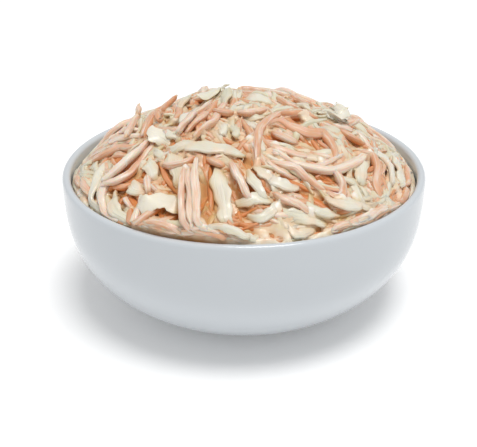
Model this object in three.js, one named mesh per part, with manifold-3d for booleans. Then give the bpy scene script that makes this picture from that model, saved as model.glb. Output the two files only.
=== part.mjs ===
// A round porcelain bowl heaped with coleslaw: shredded carrot and cabbage in a creamy dressing.
// Millimetres, +Z up. The origin is the middle of the bowl's base, +Y is the back of the heap.
import * as THREE from "three";
import { mergeVertices } from "three/addons/utils/BufferGeometryUtils.js";
import Module from "manifold-3d";

// ---- Driving dimensions ------------------------------------------------------------------

// The bowl
const RIM_RADIUS = 75;
const BOWL_HEIGHT = 58;
const FOOT_RADIUS = 41;
const FOOT_WIDTH = 3.5;
const FOOT_RECESS = 1.5;
const WALL = 3.4; // thickness of the wall, measured square to it
const BASE_THICKNESS = 5;
const SIDE_FULLNESS = 3.35; // how soon the side turns upright: 2 is an ellipse's quarter
const SIDE_ROWS = 9;
const LIP_ROWS = 4;
const BOWL_SEGMENTS = 48;

// The heap
const CONTACT_GAP = 0.3; // between the food and the bowl
const CROWN = 84.5; // level of the core's top, which the shreds lie on
const EDGE_LEVEL = 52; // mean level at which the core meets the wall
const EDGE_TILT = 4.1; // the core meets the wall this much higher at the front than at the sides
const BACK_DIP = 3.4; // and this much lower still at the very back
const MOUND_POWER = 2.2; // the mound's plan falloff
const MOUND_SHOULDER = 0.85; // under 1, its sides are steeper than a parabola's
const LUMP_HEIGHT = 0.9; // unevenness of the mound
const MOUND_RADIUS = RIM_RADIUS - WALL - CONTACT_GAP;
const MOUND_ROWS = 6;
const MOUND_SEGMENTS = 32;

// The shreds
const PRESS = 0.6; // how far a shred sinks into what it lies on
const LOOSE = 1.5; // shreds that have piled up higher than this over the mound settle under their weight
const SETTLED = 0.3; // and keep this share of what is above it
const STEP_LENGTH = 6.5; // the longest facet along a shred, but for the very long ones
const STEP_COUNTS = [2, 3, 4, 5, 6, 10]; // how many facets a shred can have
const SAMPLES = 60; // parts of a shred at whose ends it feels what it lies on: each step count divides it
const LEVEL_CELL = 1; // size of the cells that record how high the shreds have piled up
const SPREAD = 52; // places tried for the shreds that cover the rest of the heap
const SPREAD_FROM = 4; // how far back these begin
const COVERED = 0.3; // a place under shreds as thick as this gets no other
const OVERHANG = 2; // how far a shred above the lip may reach out over it
const SEED = 5;

const KINDS = {
  carrot: { thickness: 2.1, limpness: 0.035, taper: 0.45, across: 1, ripple: 0 },
  cabbage: { thickness: 1.6, limpness: 0.05, taper: 0.2, across: 1, ripple: 0.35 },
  leaf: { thickness: 1.1, limpness: 0.05, taper: 0.3, across: 3, ripple: 1.1 },
};

// ---- The shreds that show best: kind, width, plan points of the route, rise of its two ends ----

const SHOWN = [
  // left side
  ["carrot", 2.6, [[-68, -10], [-66, -18], [-62, -28]]],
  ["cabbage", 4, [[-61, -12], [-59, -19], [-56, -26]]],
  ["carrot", 2.8, [[-64, -18], [-61, -27], [-58, -37]]],
  ["cabbage", 4.2, [[-50, -33], [-46, -36], [-42, -38]]],
  ["carrot", 3.4, [[-51, -34], [-47, -39], [-41, -43]]],
  ["carrot", 4.2, [[-45, -33], [-41, -37], [-37, -42]]],
  ["cabbage", 4, [[-56, -26], [-58, -33], [-56, -42]]],
  ["cabbage", 3.8, [[-52, -33], [-53, -41], [-49, -50]]],
  ["cabbage", 4.6, [[-48, -42], [-46, -49], [-43, -56]]],
  ["cabbage", 5.2, [[-42, -41], [-39, -46], [-35, -49]]],
  ["carrot", 2.6, [[-52, 2], [-46, -5], [-40, -13]]],
  ["carrot", 2.8, [[-56, -3], [-47, -11], [-36, -18]]],
  ["carrot", 3, [[-62, -10], [-56, -13], [-49, -16], [-40, -19]]],
  ["carrot", 3.4, [[-51, -26], [-45, -24], [-38, -20]]],
  ["carrot", 2.2, [[-50, -28], [-43, -26], [-36, -22]]],
  ["carrot", 3, [[-53, -32], [-46, -30], [-39, -27], [-33, -24]]],
  ["cabbage", 3, [[-46, -9], [-44, 2], [-42, 13]], [0, 5]],
  ["carrot", 3.2, [[-40, -18], [-38, -6], [-36, 6]]],
  ["carrot", 3.4, [[-38, -19], [-36, -5], [-33, 8], [-28, 21]], [0, 3.5]],
  ["carrot", 3.6, [[-34, 2], [-33, -5], [-31, -12]]],
  ["carrot", 3, [[-27, 6], [-26, -6], [-28, -17]]],
  ["leaf", 10, [[-35, -12], [-29, -20], [-24, -30]], [1, 0]],
  ["cabbage", 3.4, [[-30, -19], [-25, -25], [-24, -33]]],
  // front left
  ["cabbage", 4.6, [[-36, -36], [-34, -41], [-33, -46]]],
  ["carrot", 3, [[-35, -42], [-34, -46], [-34, -50]]],
  ["carrot", 4.4, [[-31, -40], [-29, -46], [-24, -53]]],
  ["cabbage", 6, [[-27, -34], [-24, -44], [-22, -53]]],
  ["carrot", 3.2, [[-29, -39], [-24, -40], [-18, -40]]],
  ["carrot", 3, [[-41, -51], [-41, -56], [-42, -61]]],
  ["carrot", 2.4, [[-37, -51], [-39, -56], [-40, -60]]],
  ["carrot", 2.8, [[-38, -56], [-32, -54], [-24, -58]]],
  ["cabbage", 4.6, [[-36, -61], [-27, -64], [-16, -67]]],
  ["carrot", 3.2, [[-39, -59], [-31, -59], [-21, -63]]],
  ["leaf", 7.5, [[-38, -49], [-30, -51], [-20, -58]]],
  ["carrot", 3, [[-20, -50], [-20, -56], [-19, -60]]],
  // front middle
  ["carrot", 4.4, [[-13, -47], [-12, -55], [-12, -63]]],
  ["carrot", 2.6, [[-15, -64], [-12, -66], [-9, -69]]],
  ["leaf", 6.5, [[-9, -46], [-8, -56], [-5, -67]]],
  ["carrot", 2.6, [[-14, -42], [-10, -44], [-12, -49]]],
  ["carrot", 2.8, [[-20, -42], [-18, -50], [-18, -58], [-14, -66]]],
  ["carrot", 2.8, [[-17, -39], [-16, -50], [-15, -60], [-8, -69]]],
  ["carrot", 3, [[-1, -66], [3, -68], [7, -68]]],
  ["carrot", 2.6, [[8, -67], [12, -69], [16, -66]]],
  ["leaf", 6.5, [[0, -62], [6, -62], [12, -60]]],
  ["carrot", 2.8, [[-5, -46], [-1, -52], [3, -60]]],
  ["cabbage", 3, [[1, -49], [5, -54], [9, -60]]],
  ["cabbage", 3.4, [[4, -47], [9, -50], [13, -57]]],
  // the middle
  ["carrot", 4, [[-11, -29], [-8, -32], [-5, -35]]],
  ["cabbage", 4, [[-10, -19], [-8, -25], [-7, -31]]],
  ["cabbage", 3.6, [[-5, -18], [-3, -25], [-2, -32]]],
  ["cabbage", 5.6, [[-27, -36], [-14, -34], [-4, -37], [0, -43]], [0.5, 0]],
  ["carrot", 3, [[-17, -24], [-17, -29], [-17, -34]]],
  ["cabbage", 3.6, [[-25, -22], [-22, -10], [-18, 6]]],
  ["carrot", 2.6, [[-23, -30], [-19, -20], [-14, -8], [-10, 8]]],
  ["carrot", 3, [[-20, -33], [-17, -24], [-12, -13], [-6, 4]]],
  ["cabbage", 3.6, [[-2, -14], [4, -13], [9, -14]]],
  ["carrot", 3.2, [[-13, -6], [-8, -8], [-3, -10]]],
  ["cabbage", 5, [[0, 2], [7, 1], [13, -3]]],
  ["carrot", 2.6, [[-3, -9], [4, -9], [10, -8]]],
  ["carrot", 3.6, [[-4, -6], [-3, 4], [-3, 16]], [0, 1]],
  ["leaf", 8, [[-18, 12], [-12, 19], [-7, 26]], [2, 3]],
  ["carrot", 2.8, [[-2, 18], [8, 16], [18, 12]], [1, 1]],
  ["cabbage", 3.4, [[13, 14], [13, 6], [12, -2]]],
  ["carrot", 3.2, [[13, 6], [18, 0], [23, -5]]],
  ["cabbage", 4.6, [[22, 8], [25, 0], [27, -8]]],
  ["carrot", 2.6, [[21, -11], [26, -9], [31, -10]]],
  ["carrot", 2.6, [[19, 17], [23, 10], [28, 4]]],
  // right side
  ["carrot", 4.2, [[23, -23], [26, -28], [29, -33]]],
  ["carrot", 4.4, [[22, -43], [26, -43], [29, -45]]],
  ["carrot", 4.4, [[17, -51], [25, -52], [33, -52]]],
  ["carrot", 2.4, [[10, -25], [15, -27], [21, -31]]],
  ["carrot", 2.8, [[8, -33], [16, -35], [26, -36]]],
  ["carrot", 3.2, [[5, -45], [5, -32], [7, -20], [14, -12], [24, -8]]],
  ["carrot", 3.6, [[9, -20], [17, -14], [27, -17], [34, -27], [34, -37]]],
  ["carrot", 2.8, [[34, -13], [39, -9], [45, -7]]],
  ["cabbage", 4.4, [[32, -44], [38, -42], [44, -43]]],
  ["cabbage", 5, [[42, -27], [44, -35], [44, -43]]],
  ["carrot", 3, [[10, -38], [22, -40], [34, -39], [43, -30], [48, -20]]],
  ["carrot", 3.4, [[37, -16], [43, -14], [49, -14]]],
  ["carrot", 3, [[44, -24], [49, -19], [51, -29], [50, -38], [53, -44]]],
  ["carrot", 2.8, [[66, -4], [66, -15], [63, -27]], [1, 0]],
  ["cabbage", 4, [[61, -8], [62, -18], [60, -29]]],
  ["cabbage", 5, [[54, -10], [57, -21], [57, -32]]],
  ["carrot", 2.6, [[64, -24], [61, -31], [57, -38]]],
  ["cabbage", 3.6, [[53, -37], [55, -42], [56, -46]]],
  ["cabbage", 4.4, [[8, -50], [14, -51], [20, -52]]],
  ["carrot", 2.8, [[9, -43], [18, -43], [25, -47], [31, -51]]],
  ["carrot", 2.6, [[29, -50], [35, -49], [36, -44], [33, -38]]],
  ["cabbage", 5, [[12, -62], [21, -62], [31, -61]]],
  ["carrot", 2.8, [[10, -56], [18, -57], [26, -61]]],
  ["cabbage", 3.4, [[22, -57], [29, -57], [36, -57]]],
  ["leaf", 8, [[31, -52], [38, -50], [46, -49]]],
  ["carrot", 2.8, [[29, -62], [33, -59], [38, -55]]],
  ["carrot", 2.4, [[41, -59], [50, -52], [58, -42]]],
  ["carrot", 3, [[35, -61], [47, -53], [57, -43]]],
  ["leaf", 10, [[33, -7], [36, 3], [39, 13]], [0, 5]],
  ["carrot", 2.6, [[40, -6], [43, 1], [46, 8]], [0, 2.5]],
];

// ---- Small helpers -----------------------------------------------------------------------

const wasm = await Module();
wasm.setup();

function seededRandom(seed) {
  let state = seed;
  return () => {
    state = (state * 1664525 + 1013904223) % 4294967296;
    return state / 4294967296;
  };
}

function polar(radius, angle, z) {
  return new THREE.Vector3(radius * Math.cos(angle), radius * Math.sin(angle), z);
}

// A closed mesh as a manifold-3d solid.
function solidOf(geometry) {
  const bare = new THREE.BufferGeometry();
  bare.setAttribute("position", geometry.getAttribute("position"));
  bare.setIndex(geometry.getIndex());
  const merged = mergeVertices(bare, 1e-4);
  return new wasm.Manifold(
    new wasm.Mesh({
      numProp: 3,
      vertProperties: new Float32Array(merged.getAttribute("position").array),
      triVerts: new Uint32Array(merged.getIndex().array),
    }),
  );
}

// A manifold-3d solid as a mesh geometry.
function geometryOf(solid) {
  const mesh = solid.getMesh();
  const positions = new Float32Array(mesh.numVert * 3);
  for (let i = 0; i < mesh.numVert; i += 1) {
    const start = i * mesh.numProp;
    positions.set(mesh.vertProperties.subarray(start, start + 3), i * 3);
  }
  const geometry = new THREE.BufferGeometry();
  geometry.setAttribute("position", new THREE.BufferAttribute(positions, 3));
  geometry.setIndex(new THREE.BufferAttribute(mesh.triVerts, 1));
  geometry.computeVertexNormals();
  return geometry;
}

// ---- The bowl ----------------------------------------------------------------------------

// A point of the outside of the bowl's side, moved inwards by depth; share runs from 0 at the foot to 1.
function sidePoint(share, depth = 0) {
  const at = (s) => {
    const turn = (s * Math.PI) / 2;
    const radius = FOOT_RADIUS + (RIM_RADIUS - FOOT_RADIUS) * Math.sin(turn) ** 2;
    return new THREE.Vector2(radius, BOWL_HEIGHT * (1 - Math.cos(turn) ** (2 / SIDE_FULLNESS)));
  };
  const step = 1e-3;
  const along = at(Math.min(share + step, 1)).sub(at(Math.max(share - step, 0))).normalize();
  return at(share).add(new THREE.Vector2(-along.y, along.x).multiplyScalar(depth));
}

// Rows up the side to just under the lip, closer together towards it, where the formula climbs fastest.
function sideRows(depth = 0) {
  return Array.from({ length: SIDE_ROWS + 1 }, (_, i) => sidePoint(1 - (1 - i / SIDE_ROWS) ** 1.7, depth)).filter(
    (point) => point.y < BOWL_HEIGHT - WALL / 2 - 1,
  );
}

// The radius of a profile at a level, on the straight line between its rows.
function radiusAt(rows, level) {
  const above = Math.max(1, rows.findIndex((point) => point.y > level));
  const [low, high] = rows.at(-1).y > level ? [rows[above - 1], rows[above]] : rows.slice(-2);
  return low.x + ((high.x - low.x) * (level - low.y)) / (high.y - low.y);
}

function bowlGeometry() {
  const lipRadius = WALL / 2;
  const lipCentre = new THREE.Vector2(RIM_RADIUS - lipRadius, BOWL_HEIGHT - lipRadius);
  const outside = sideRows();
  const inside = sideRows(WALL);
  const floorRadius = radiusAt(inside, BASE_THICKNESS);
  const lip = Array.from({ length: LIP_ROWS + 1 }, (_, i) => {
    const angle = (i / LIP_ROWS) * Math.PI;
    return lipCentre.clone().add(new THREE.Vector2(Math.cos(angle), Math.sin(angle)).multiplyScalar(lipRadius));
  });
  const profile = [
    new THREE.Vector2(0, FOOT_RECESS),
    new THREE.Vector2(FOOT_RADIUS - FOOT_WIDTH - FOOT_RECESS, FOOT_RECESS),
    new THREE.Vector2(FOOT_RADIUS - FOOT_WIDTH, 0),
    ...outside,
    ...lip,
    ...inside.filter((point) => point.y > BASE_THICKNESS + 1).reverse(),
    new THREE.Vector2(floorRadius, BASE_THICKNESS),
    new THREE.Vector2(0, BASE_THICKNESS),
  ];
  const lathe = new THREE.LatheGeometry(profile, BOWL_SEGMENTS);
  lathe.rotateX(Math.PI / 2); // the profile turns about Y, and the bowl stands along Z
  return lathe;
}

// ---- The heap's core -----------------------------------------------------------------------

// The level at which the core meets the wall, higher at the front and lower at the back.
function edgeLevel(angle) {
  return EDGE_LEVEL - EDGE_TILT * Math.sin(angle) - BACK_DIP * Math.max(0, Math.sin(angle)) ** 3;
}

// The level of the mound that the shreds lie on.
function moundLevel(x, y) {
  const share = Math.min(Math.hypot(x, y) / MOUND_RADIUS, 1);
  const edge = edgeLevel(Math.atan2(y, x));
  const lumps = Math.sin(x / 6.1 + 1.3) * Math.cos(y / 7.3 - 0.4) + Math.sin((x + y) / 10.7);
  const dome = (1 - share ** MOUND_POWER) ** MOUND_SHOULDER;
  return edge + (CROWN - edge) * dome + LUMP_HEIGHT * lumps * (1 - share ** 4);
}

function moundNormal(x, y) {
  const step = 0.4;
  const slopeX = (moundLevel(x + step, y) - moundLevel(x - step, y)) / (2 * step);
  const slopeY = (moundLevel(x, y + step) - moundLevel(x, y - step)) / (2 * step);
  return new THREE.Vector3(-slopeX, -slopeY, 1).normalize();
}

// The room inside the bowl's wall, less the gap, as a radius at a level.
const roomRows = sideRows(WALL + CONTACT_GAP);
const roomRadius = (level) => Math.min(radiusAt(roomRows, level), MOUND_RADIUS);

// A solid of rings round the Z axis, from one point on the axis to another.
function ringSolid(rings, start, end) {
  const positions = [start, ...rings.flat(), end].flatMap((p) => [p.x, p.y, p.z]);
  const last = positions.length / 3 - 1;
  const index = [];
  const at = (row, column) => 1 + row * MOUND_SEGMENTS + (column % MOUND_SEGMENTS);
  for (let column = 0; column < MOUND_SEGMENTS; column += 1) {
    index.push(0, at(0, column + 1), at(0, column));
    for (let row = 0; row < rings.length - 1; row += 1) {
      const [a, b] = [at(row, column), at(row, column + 1)];
      const [c, d] = [at(row + 1, column), at(row + 1, column + 1)];
      index.push(a, b, d, a, d, c);
    }
    index.push(last, at(rings.length - 1, column), at(rings.length - 1, column + 1));
  }
  const geometry = new THREE.BufferGeometry();
  geometry.setAttribute("position", new THREE.Float32BufferAttribute(positions, 3));
  geometry.setIndex(index);
  return geometry;
}

function coreGeometry() {
  const angles = Array.from({ length: MOUND_SEGMENTS }, (_, i) => (i / MOUND_SEGMENTS) * 2 * Math.PI);
  const floor = BASE_THICKNESS + CONTACT_GAP;
  const lowestEdge = edgeLevel(Math.PI / 2);
  const levels = [floor, ...roomRows.map((point) => point.y).filter((y) => y > floor + 1 && y < lowestEdge - 2)];
  const filled = levels.map((level) => angles.map((angle) => polar(roomRadius(level), angle, level)));
  const edge = angles.map((angle) => polar(roomRadius(edgeLevel(angle)), angle, edgeLevel(angle)));
  const mound = Array.from({ length: MOUND_ROWS - 1 }, (_, row) =>
    angles.map((angle) => {
      const radius = MOUND_RADIUS * Math.sin(((1 - (row + 1) / MOUND_ROWS) * Math.PI) / 2);
      return polar(radius, angle, moundLevel(radius * Math.cos(angle), radius * Math.sin(angle)));
    }),
  );
  return ringSolid([...filled, edge, ...mound], polar(0, 0, floor), polar(0, 0, moundLevel(0, 0)));
}

// ---- The shreds ----------------------------------------------------------------------------

// How high the shreds have piled up on the mound, measured square to it, cell by cell of the plan.
class Pile {
  constructor() {
    this.heights = new Map();
  }

  key(x, y) {
    return `${Math.round(x / LEVEL_CELL)},${Math.round(y / LEVEL_CELL)}`;
  }

  height(x, y) {
    return this.heights.get(this.key(x, y)) ?? 0;
  }

  raise(x, y, height) {
    this.heights.set(this.key(x, y), Math.max(this.height(x, y), height));
  }
}

// How many facets a shred has along its route: more the longer it is.
function stepsAlong(plan) {
  const length = plan.slice(1).reduce((sum, [x, y], i) => sum + Math.hypot(x - plan[i][0], y - plan[i][1]), 0);
  return STEP_COUNTS.find((count) => count * STEP_LENGTH > length) ?? STEP_COUNTS.at(-1);
}

// The route of a shred over the mound: for each station its place, the mound's normal there and the way across.
function stationsAlong(plan, count) {
  const curve = new THREE.CatmullRomCurve3(plan.map(([x, y]) => new THREE.Vector3(x, y, 0)));
  const stations = Array.from({ length: count }, (_, i) => {
    const { x, y } = curve.getPoint(i / (count - 1));
    return { place: new THREE.Vector3(x, y, moundLevel(x, y)), normal: moundNormal(x, y) };
  });
  stations.forEach((station, i) => {
    const ahead = stations[Math.min(i + 1, count - 1)].place;
    const behind = stations[Math.max(i - 1, 0)].place;
    station.across = station.normal.clone().cross(ahead.clone().sub(behind)).normalize();
  });
  return stations;
}

// Lays a shred on the pile. Its underside rests on what is highest, and bends down from there only as far
// as its limpness lets it. Gives every station the middle of the shred there.
function layOnPile(pile, stations, width, kind, rise = [0, 0]) {
  const settled = (height) => Math.min(height, LOOSE) + Math.max(0, height - LOOSE) * SETTLED;
  const underfoot = ({ place, across }) =>
    [-0.5, -0.25, 0, 0.25, 0.5].map((e) => [place.x + across.x * e * width, place.y + across.y * e * width]);
  const held = stations.map((station) => Math.max(...underfoot(station).map(([x, y]) => pile.height(x, y))));
  stations.forEach((station, i) => {
    const drapes = stations.map(
      (other, j) => held[j] - kind.limpness * other.place.distanceTo(station.place) ** 2,
    );
    const share = i / (stations.length - 1);
    const lift = rise[0] * (1 - share) ** 3 + rise[1] * share ** 3;
    const under = settled(Math.max(...drapes)) - PRESS;
    station.middle = station.place.clone().addScaledVector(station.normal, under + lift + kind.thickness / 2);
    station.top = under + kind.thickness;
  });
  for (const station of stations) {
    for (const [x, y] of underfoot(station)) pile.raise(x, y, station.top);
  }
}

// Keeps a shred off the bowl: what would touch the wall or reach too far over the lip moves inwards.
function keepInBowl(stations, width) {
  for (const { middle } of stations) {
    const reach = Math.hypot(middle.x, middle.y);
    const overLip = middle.z > BOWL_HEIGHT + 2 ? OVERHANG : 0;
    const room = roomRadius(middle.z - 1.5) + overLip - width / 2 - 0.2;
    if (reach > room) {
      middle.x *= room / reach;
      middle.y *= room / reach;
    }
  }
}

// A slab bent along a shred's stations. Both of its faces are split into triangles alike.
function shredGeometry(stations, width, kind, phase) {
  const rows = stations.length - 1;
  const columns = kind.across;
  const positions = [];
  for (const side of [1, -1]) {
    stations.forEach(({ middle, across, normal }, i) => {
      const share = i / rows;
      const full = Math.min(1, Math.min(share, 1 - share) / 0.22);
      const half = (width / 2) * (1 - kind.taper * (1 - full));
      for (let column = 0; column <= columns; column += 1) {
        const offset = (column / columns) * 2 - 1;
        const wave = kind.ripple * Math.sin(share * 9 + phase) * offset;
        const point = middle
          .clone()
          .addScaledVector(across, offset * half)
          .addScaledVector(normal, wave + (side * kind.thickness) / 2);
        positions.push(point.x, point.y, point.z);
      }
    });
  }
  const stride = columns + 1;
  const bottom = stations.length * stride;
  const index = [];
  const quad = (a, b, c, d) => index.push(a, b, c, a, c, d);
  for (let row = 0; row < rows; row += 1) {
    for (let column = 0; column < columns; column += 1) {
      const a = row * stride + column;
      const c = a + stride + 1;
      index.push(a, a + stride, c, a, c, a + 1);
      index.push(bottom + a, bottom + c, bottom + a + stride, bottom + a, bottom + a + 1, bottom + c);
    }
    const [first, final] = [row * stride, row * stride + columns];
    quad(first, bottom + first, bottom + first + stride, first + stride);
    quad(final + stride, bottom + final + stride, bottom + final, final);
  }
  for (let column = 0; column < columns; column += 1) {
    const end = rows * stride + column;
    quad(column + 1, bottom + column + 1, bottom + column, column);
    quad(end, bottom + end, bottom + end + 1, end + 1);
  }
  const geometry = new THREE.BufferGeometry();
  geometry.setAttribute("position", new THREE.Float32BufferAttribute(positions, 3));
  geometry.setIndex(index);
  return geometry;
}

// Shreds spread evenly, by the golden angle, over what the shown ones leave bare of the back.
function spreadShred(random, number, pile) {
  const angle = number * Math.PI * (3 - Math.sqrt(5));
  const radius = (MOUND_RADIUS - 5) * Math.sqrt((number + 0.5) / SPREAD);
  const [x, y] = [radius * Math.cos(angle), radius * Math.sin(angle)];
  const draws = [random(), random(), random(), random()];
  if (y < SPREAD_FROM || pile.height(x, y) > COVERED) return null;
  const kind = draws[0] < 0.55 ? "carrot" : "cabbage";
  const width = (kind === "carrot" ? 2.4 : 4) + draws[1] * 0.8;
  const heading = draws[2] * Math.PI;
  const reach = 9 + draws[3] * 9;
  const bow = (draws[1] - 0.5) * reach;
  const way = [Math.cos(heading), Math.sin(heading)];
  const plan = [-1, 0, 1].map((end) => {
    const aside = bow * (1 - end * end);
    const point = [x + end * reach * way[0] - aside * way[1], y + end * reach * way[1] + aside * way[0]];
    const room = Math.min(1, (MOUND_RADIUS - 4) / Math.hypot(...point));
    return point.map((value) => value * room);
  });
  return [kind, width, plan];
}

function coleslawGeometry() {
  const random = seededRandom(SEED);
  const pile = new Pile();
  let heap = solidOf(coreGeometry());
  const lay = ([kindName, width, plan, rise]) => {
    const kind = KINDS[kindName];
    const route = stationsAlong(plan, SAMPLES + 1);
    layOnPile(pile, route, width, kind, rise);
    const every = SAMPLES / stepsAlong(plan);
    const stations = route.filter((_, i) => i % every === 0);
    keepInBowl(stations, width);
    heap = heap.add(solidOf(shredGeometry(stations, width, kind, plan[0][0])));
  };
  SHOWN.forEach(lay);
  for (let number = 0; number < SPREAD; number += 1) {
    const shred = spreadShred(random, number, pile);
    if (shred) lay(shred);
  }
  // The largest body alone: this drops loose scraps and fills any hollow that joining has sealed.
  const whole = heap.decompose().reduce((a, b) => (a.volume() > b.volume() ? a : b));
  return geometryOf(whole);
}

// ---- The object ----------------------------------------------------------------------------

const porcelain = new THREE.MeshStandardMaterial({ color: 0xe9ecee, roughness: 0.25, metalness: 0 });
const dressedSlaw = new THREE.MeshStandardMaterial({ color: 0xe6c9a8, roughness: 0.45, metalness: 0 });

const bowl = new THREE.Mesh(bowlGeometry(), porcelain);
bowl.name = "bowl";

const coleslaw = new THREE.Mesh(coleslawGeometry(), dressedSlaw);
coleslaw.name = "coleslaw";

const bowlOfColeslaw = new THREE.Group();
bowlOfColeslaw.add(bowl, coleslaw);

export default bowlOfColeslaw;
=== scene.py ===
"""A round porcelain bowl heaped with creamy coleslaw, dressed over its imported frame.

The builders work in millimetres and the meshes are made in metres. +Z is up, the origin is the middle of
the bowl's foot, and -Y is the front of the heap.
"""

import copy
import itertools
import logging
import math
from collections.abc import Callable
from dataclasses import dataclass, field
from enum import Enum
from typing import Any

import bmesh
import bpy
import numpy as np
from mathutils import Matrix, Vector


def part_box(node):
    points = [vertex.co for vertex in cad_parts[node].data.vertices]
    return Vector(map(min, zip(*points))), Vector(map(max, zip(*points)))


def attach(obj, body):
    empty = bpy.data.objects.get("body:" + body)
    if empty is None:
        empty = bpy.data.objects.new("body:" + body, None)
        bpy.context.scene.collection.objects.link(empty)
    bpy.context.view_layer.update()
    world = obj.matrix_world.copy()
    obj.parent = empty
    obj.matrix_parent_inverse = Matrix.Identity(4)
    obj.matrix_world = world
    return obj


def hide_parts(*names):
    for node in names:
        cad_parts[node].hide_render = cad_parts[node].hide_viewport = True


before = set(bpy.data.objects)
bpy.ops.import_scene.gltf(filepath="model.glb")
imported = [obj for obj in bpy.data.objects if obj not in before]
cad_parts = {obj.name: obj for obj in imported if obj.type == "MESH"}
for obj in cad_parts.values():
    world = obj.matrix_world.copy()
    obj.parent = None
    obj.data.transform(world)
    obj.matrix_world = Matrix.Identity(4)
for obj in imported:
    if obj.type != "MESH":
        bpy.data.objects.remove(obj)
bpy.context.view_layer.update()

LOG = logging.getLogger("coleslaw")
BODY = "root"
MM = 0.001
TINY = 1e-6  # keeps a division off zero
FAR = 50.0  # a distance in mm that stands for "nowhere near"
NOISE_MIDDLE = 0.5  # what a noise node averages
WAVE_SIZES = (0.7, 1.5)  # the shortest and the longest of a cloud's waves, over its size
WAVE_PEAK = 1.6  # how many times their usual height the waves reach together
GOLDEN = 3 - math.sqrt(5)  # the golden angle over pi
EVEN_STEPS = (0.5698402910, 0.7548776662)  # the plastic number's inverse powers, which fill a square evenly
EVEN_STARTS = (0.11, 0.37)
WHITE = (1.0, 1.0, 1.0, 1.0)

Array = np.ndarray
Colour = tuple[float, float, float]
Span = tuple[float, float]
Plan = list[tuple[float, float]]


# ---- Numbers -------------------------------------------------------------------------------


class Draws:
    """Seeded draws between 0 and 1, the same ones on every run."""

    factor = 1664525
    step = 1013904223
    cycle = 4294967296

    def __init__(self, seed: int) -> None:
        """Starts the row of draws from a seed."""
        self.state = seed

    def one(self) -> float:
        """The next draw."""
        self.state = (self.state * self.factor + self.step) % self.cycle
        return self.state / self.cycle

    def between(self, low: float, high: float) -> float:
        """The next draw, between two limits."""
        return low + (high - low) * self.one()


def unit(vectors: Array) -> Array:
    """Rows of vectors, each made one long."""
    return vectors / np.maximum(np.linalg.norm(vectors, axis=-1, keepdims=True), TINY)


def smooth(values: Array, low: float, high: float) -> Array:
    """0 at low, 1 at high and an even S between them."""
    share = np.clip((values - low) / (high - low), 0, 1)
    return share * share * (3 - 2 * share)


def between(grid: Array, places: Array) -> Array:
    """What a grid holds at places between its points.

    Args:
        grid: the values at whole numbers of cells.
        places: the places in cells, one in each row.

    Returns:
        The value at each place, interpolated.
    """
    low = np.minimum(places.astype(int), np.array(grid.shape) - 2)
    share = places - low
    found = np.zeros(len(places))
    for corner in itertools.product((0, 1), repeat=3):
        weight = np.prod(np.where(corner, share, 1 - share), axis=1)
        found += weight * grid[tuple((low + corner).T)]
    return found


def waves(points: Array, size: float, seed: int, count: int = 9) -> Array:
    """An even, cloudy noise made of plane waves.

    Args:
        points: places in mm, one in each row.
        size: about how far apart the clouds are, in mm.
        seed: picks the waves.
        count: how many waves are added up.

    Returns:
        One value a row, mostly between -1 and 1.
    """
    draws = np.random.default_rng(seed)
    directions = unit(draws.normal(size=(count, 3)))
    turns = 2 * math.pi / (size * draws.uniform(*WAVE_SIZES, count))
    phases = draws.uniform(0, 2 * math.pi, count)
    return np.sin((points @ directions.T) * turns + phases).sum(1) * math.sqrt(2 / count) / WAVE_PEAK


def strewn_place(number: int) -> tuple[float, float]:
    """Two numbers between 0 and 1 that fill a square evenly as the number goes up."""
    first, second = ((number * step + start) % 1 for step, start in zip(EVEN_STEPS, EVEN_STARTS))
    return first, second


# ---- Shader graphs -------------------------------------------------------------------------


class Value:
    """A number in a shader. Arithmetic on it adds Math nodes."""

    def __init__(self, graph: "Graph", socket: bpy.types.NodeSocket) -> None:
        """Wraps a socket of a graph."""
        self.graph = graph
        self.socket = socket

    def _math(self, operation: str, *operands: "Value | float") -> "Value":
        """Adds a Math node.

        Args:
            operation: the node's operation.
            operands: its inputs in order, values or numbers.

        Returns:
            The node's result.
        """
        node = self.graph.node("ShaderNodeMath", {"operation": operation}, dict(enumerate(operands)))
        return Value(self.graph, node.outputs[0])

    def __add__(self, other: "Value | float") -> "Value":
        """This plus another."""
        return self._math("ADD", self, other)

    __radd__ = __add__

    def __mul__(self, other: "Value | float") -> "Value":
        """This times another."""
        return self._math("MULTIPLY", self, other)

    __rmul__ = __mul__

    def __sub__(self, other: "Value | float") -> "Value":
        """This less another."""
        return self._math("SUBTRACT", self, other)

    def __rsub__(self, other: "Value | float") -> "Value":
        """Another less this."""
        return self._math("SUBTRACT", other, self)

    def swing(self, weight: float) -> "Value":
        """How far a noise is off its middle, times a weight."""
        return (self - NOISE_MIDDLE) * weight

    def step(self, low: float, high: float) -> "Value":
        """A smooth step.

        Args:
            low: where it leaves 0.
            high: where it reaches 1.

        Returns:
            0 up to low, 1 from high on, and an even S between them.
        """
        settings = {"interpolation_type": "SMOOTHSTEP"}
        inputs = {"Value": self, "From Min": low, "From Max": high}
        return Value(self.graph, self.graph.node("ShaderNodeMapRange", settings, inputs).outputs[0])


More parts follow.
